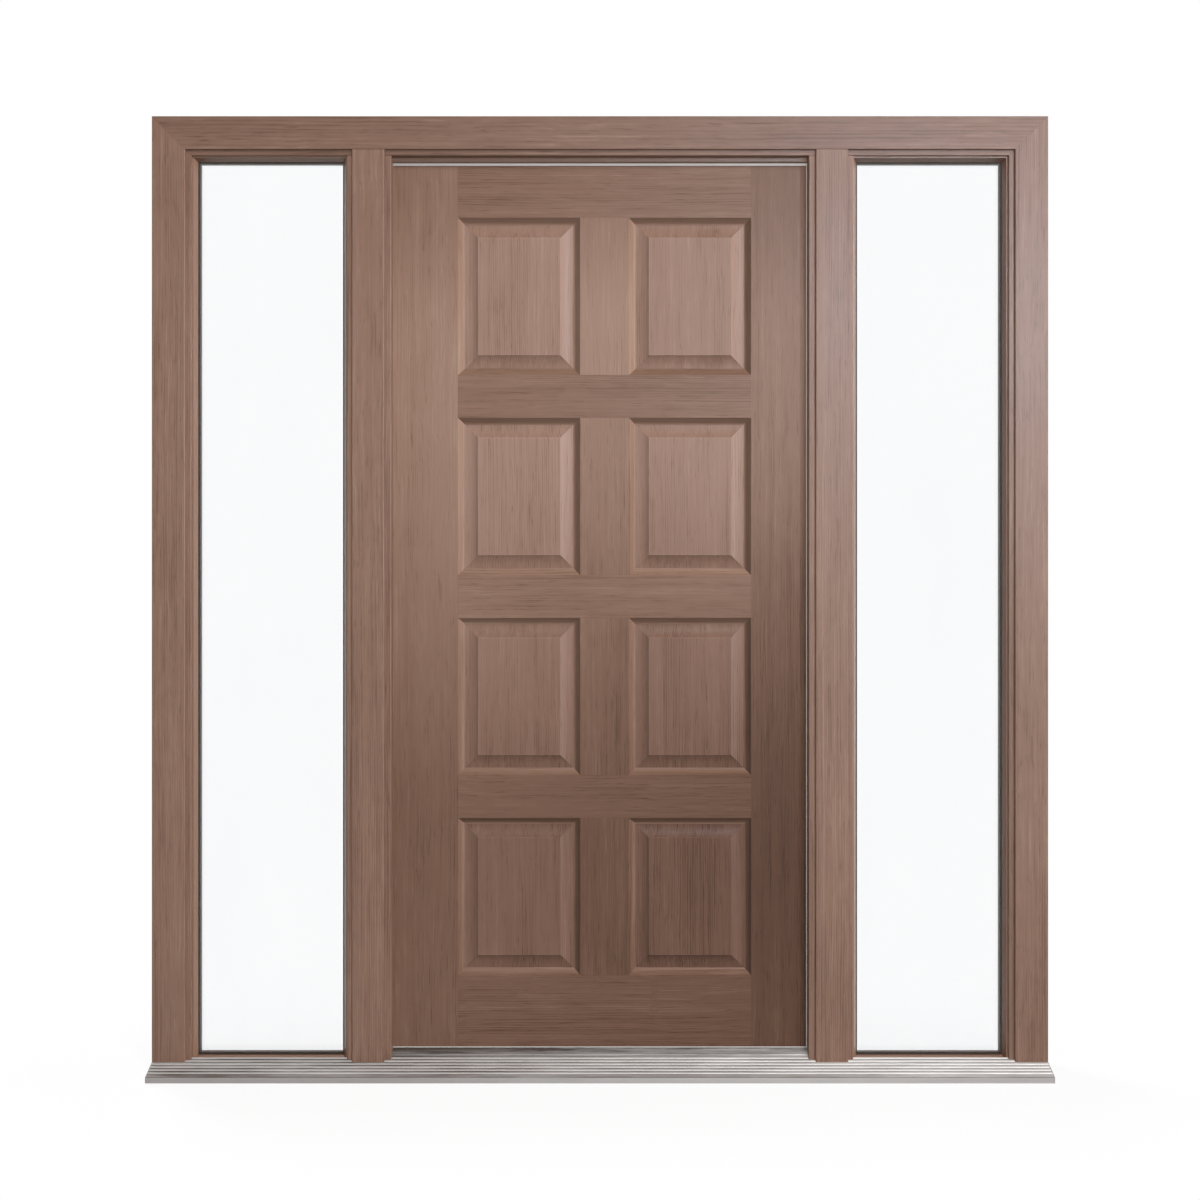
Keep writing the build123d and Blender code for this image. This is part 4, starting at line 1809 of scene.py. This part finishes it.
@dataclass
class Studio:
    """The plain white floor, the soft lights and the camera at the photograph's angle.

    Attributes:
        camera_place: Where the camera stands.
        lens: Its focal length in millimetres.
        sensor: Its sensor's width in millimetres.
        shift: Its vertical shift.
        floor_reach: How far the floor goes each way.
        floor_drop: How far it lies under the sill.
        half_width: Half the doorset's width.
        floor_plain: The share of plain white in what is seen of the floor beside the doorset.
        fade_from: How far from the doorset the floor begins to turn quite plain.
        fade_to: Where it is quite plain.
        floor_bounce: The floor's reflectance for the light that it sends back on the doorset.
        floor_white: Its reflectance where it is seen.
        world_level: How strongly the world lights the doorset.
        aim: What the lamps look at.
        lamps: The lamps.
    """

    camera_place: Triple = (0.0, -4.0, 1.25)
    lens: float = 55.17
    sensor: float = 36.0
    shift: float = -0.08333
    floor_reach: float = 40.0
    floor_drop: float = 0.5 * MM
    half_width: float = 0.975
    floor_plain: float = 0.86
    fade_from: float = 0.05
    fade_to: float = 0.7
    floor_bounce: float = 0.32
    floor_white: float = 0.9
    world_level: float = 0.12
    aim: Triple = (0.05, 0.0, 1.1)
    lamps: tuple[Lamp, ...] = (
        Lamp("key", (2.73, -8.26, 6.06), 492.0, glossy=False),
        Lamp("graze", (7.7, -4.78, 5.4), 850.0, glossy=False, shadow=False),
        Lamp("fill", (-4.2, -3.4, 2.2), 17.0),
        Lamp("back", (-3.8, 4.6, 2.8), 320.0, glossy=False),
        sheen("sheen_mullion", (1.0, -4.0, 2.15), 30.0, (0.12, 0.9)),
        sheen("sheen_jamb", (1.86, -4.0, 2.15), 68.0, (0.12, 0.9)),
        sheen("sheen_right", (4.5, -3.86, 1.3), 130.0, (1.2, 2.6)),
    )

    def add_camera(self) -> None:
        """Adds the camera, level and square to the doorset."""
        data = bpy.data.cameras.new("camera")
        data.lens = self.lens
        data.sensor_width = self.sensor
        data.sensor_fit = "HORIZONTAL"
        data.shift_y = self.shift
        camera = bpy.data.objects.new("camera", data)
        camera.location = self.camera_place
        camera.rotation_euler = (QUARTER_TURN, 0.0, 0.0)
        bpy.context.scene.collection.objects.link(camera)
        bpy.context.scene.camera = camera

    def seen_directly(self, sheet: Sheet) -> Socket:
        """The mask of rays that show the background: from the camera, from gloss and through glass.

        Args:
            sheet: The material's or world's sheet.

        Returns:
            The mask's socket.
        """
        rays = sheet.add("ShaderNodeLightPath")
        shown = sheet.math("MAXIMUM", rays["Is Camera Ray"], rays["Is Glossy Ray"])
        return sheet.math("MAXIMUM", shown, rays["Is Transmission Ray"])

    def add_floor(self) -> None:
        """Adds the white floor, which keeps the doorset's shadow."""
        alone()
        bpy.ops.mesh.primitive_plane_add(size=2 * self.floor_reach, location=(0.0, 0.0, -self.floor_drop))
        floor = bpy.context.object
        floor.name = "floor"
        coat = Coat("floor_white")
        coat.tree.nodes.remove(coat.shader)
        seen = self.seen_directly(coat)
        where = coat.axes(coat.place)
        beside = coat.math("MAXIMUM", coat.less(coat.math("ABSOLUTE", where["X"]), self.half_width), 0.0)
        away = coat.total(beside, coat.math("ABSOLUTE", where["Y"]))
        plain_share = coat.step(away, self.fade_from, self.fade_to, self.floor_plain, 1.0)
        level = coat.step(seen, 0.0, 1.0, self.floor_bounce, self.floor_white)
        grey = coat.add("ShaderNodeCombineColor", {"Red": level, "Green": level, "Blue": level})["Color"]
        matt = coat.add("ShaderNodeBsdfDiffuse", {"Color": grey})[0]
        plain = coat.add("ShaderNodeEmission", {"Color": (1.0, 1.0, 1.0, 1.0), "Strength": 1.0})[0]
        share = coat.times(seen, plain_share)
        mixed = coat.add("ShaderNodeMixShader", {0: share, 1: matt, 2: plain})[0]
        coat.feed(coat.tree.nodes["Material Output"].inputs["Surface"], mixed)
        floor.data.materials.append(coat.material)

    def add_world(self) -> None:
        """Adds the world: white where it is seen, softer where it lights."""
        world = bpy.data.worlds.new("studio")
        bpy.context.scene.world = world
        world.use_nodes = True
        sheet = Sheet(world.node_tree)
        background = world.node_tree.nodes["Background"]
        background.inputs["Color"].default_value = (1.0, 1.0, 1.0, 1.0)
        level = sheet.step(self.seen_directly(sheet), 0.0, 1.0, self.world_level, 1.0)
        sheet.feed(background.inputs["Strength"], level)

    def build(self) -> list[str]:
        """Adds the studio.

        Returns:
            What was added.
        """
        self.add_camera()
        self.add_floor()
        self.add_world()
        for lamp in self.lamps:
            lamp.hang(self.aim)
        bpy.context.scene.view_settings.view_transform = "Standard"
        return ["camera", "floor", "world", *(lamp.name for lamp in self.lamps)]


def main() -> None:
    """Builds the studio and dresses each sub-assembly in order."""
    logging.basicConfig(level=logging.INFO, format="%(name)s: %(message)s")
    for part in (Studio(), FrameTimber(), LeafTimber(), SillMetal(), SideLights(), DoorSeal(), HingeSet()):
        for name in part.build():
            log.info("%s: %s", type(part).__name__, name)


if __name__ == "__main__":
    main()
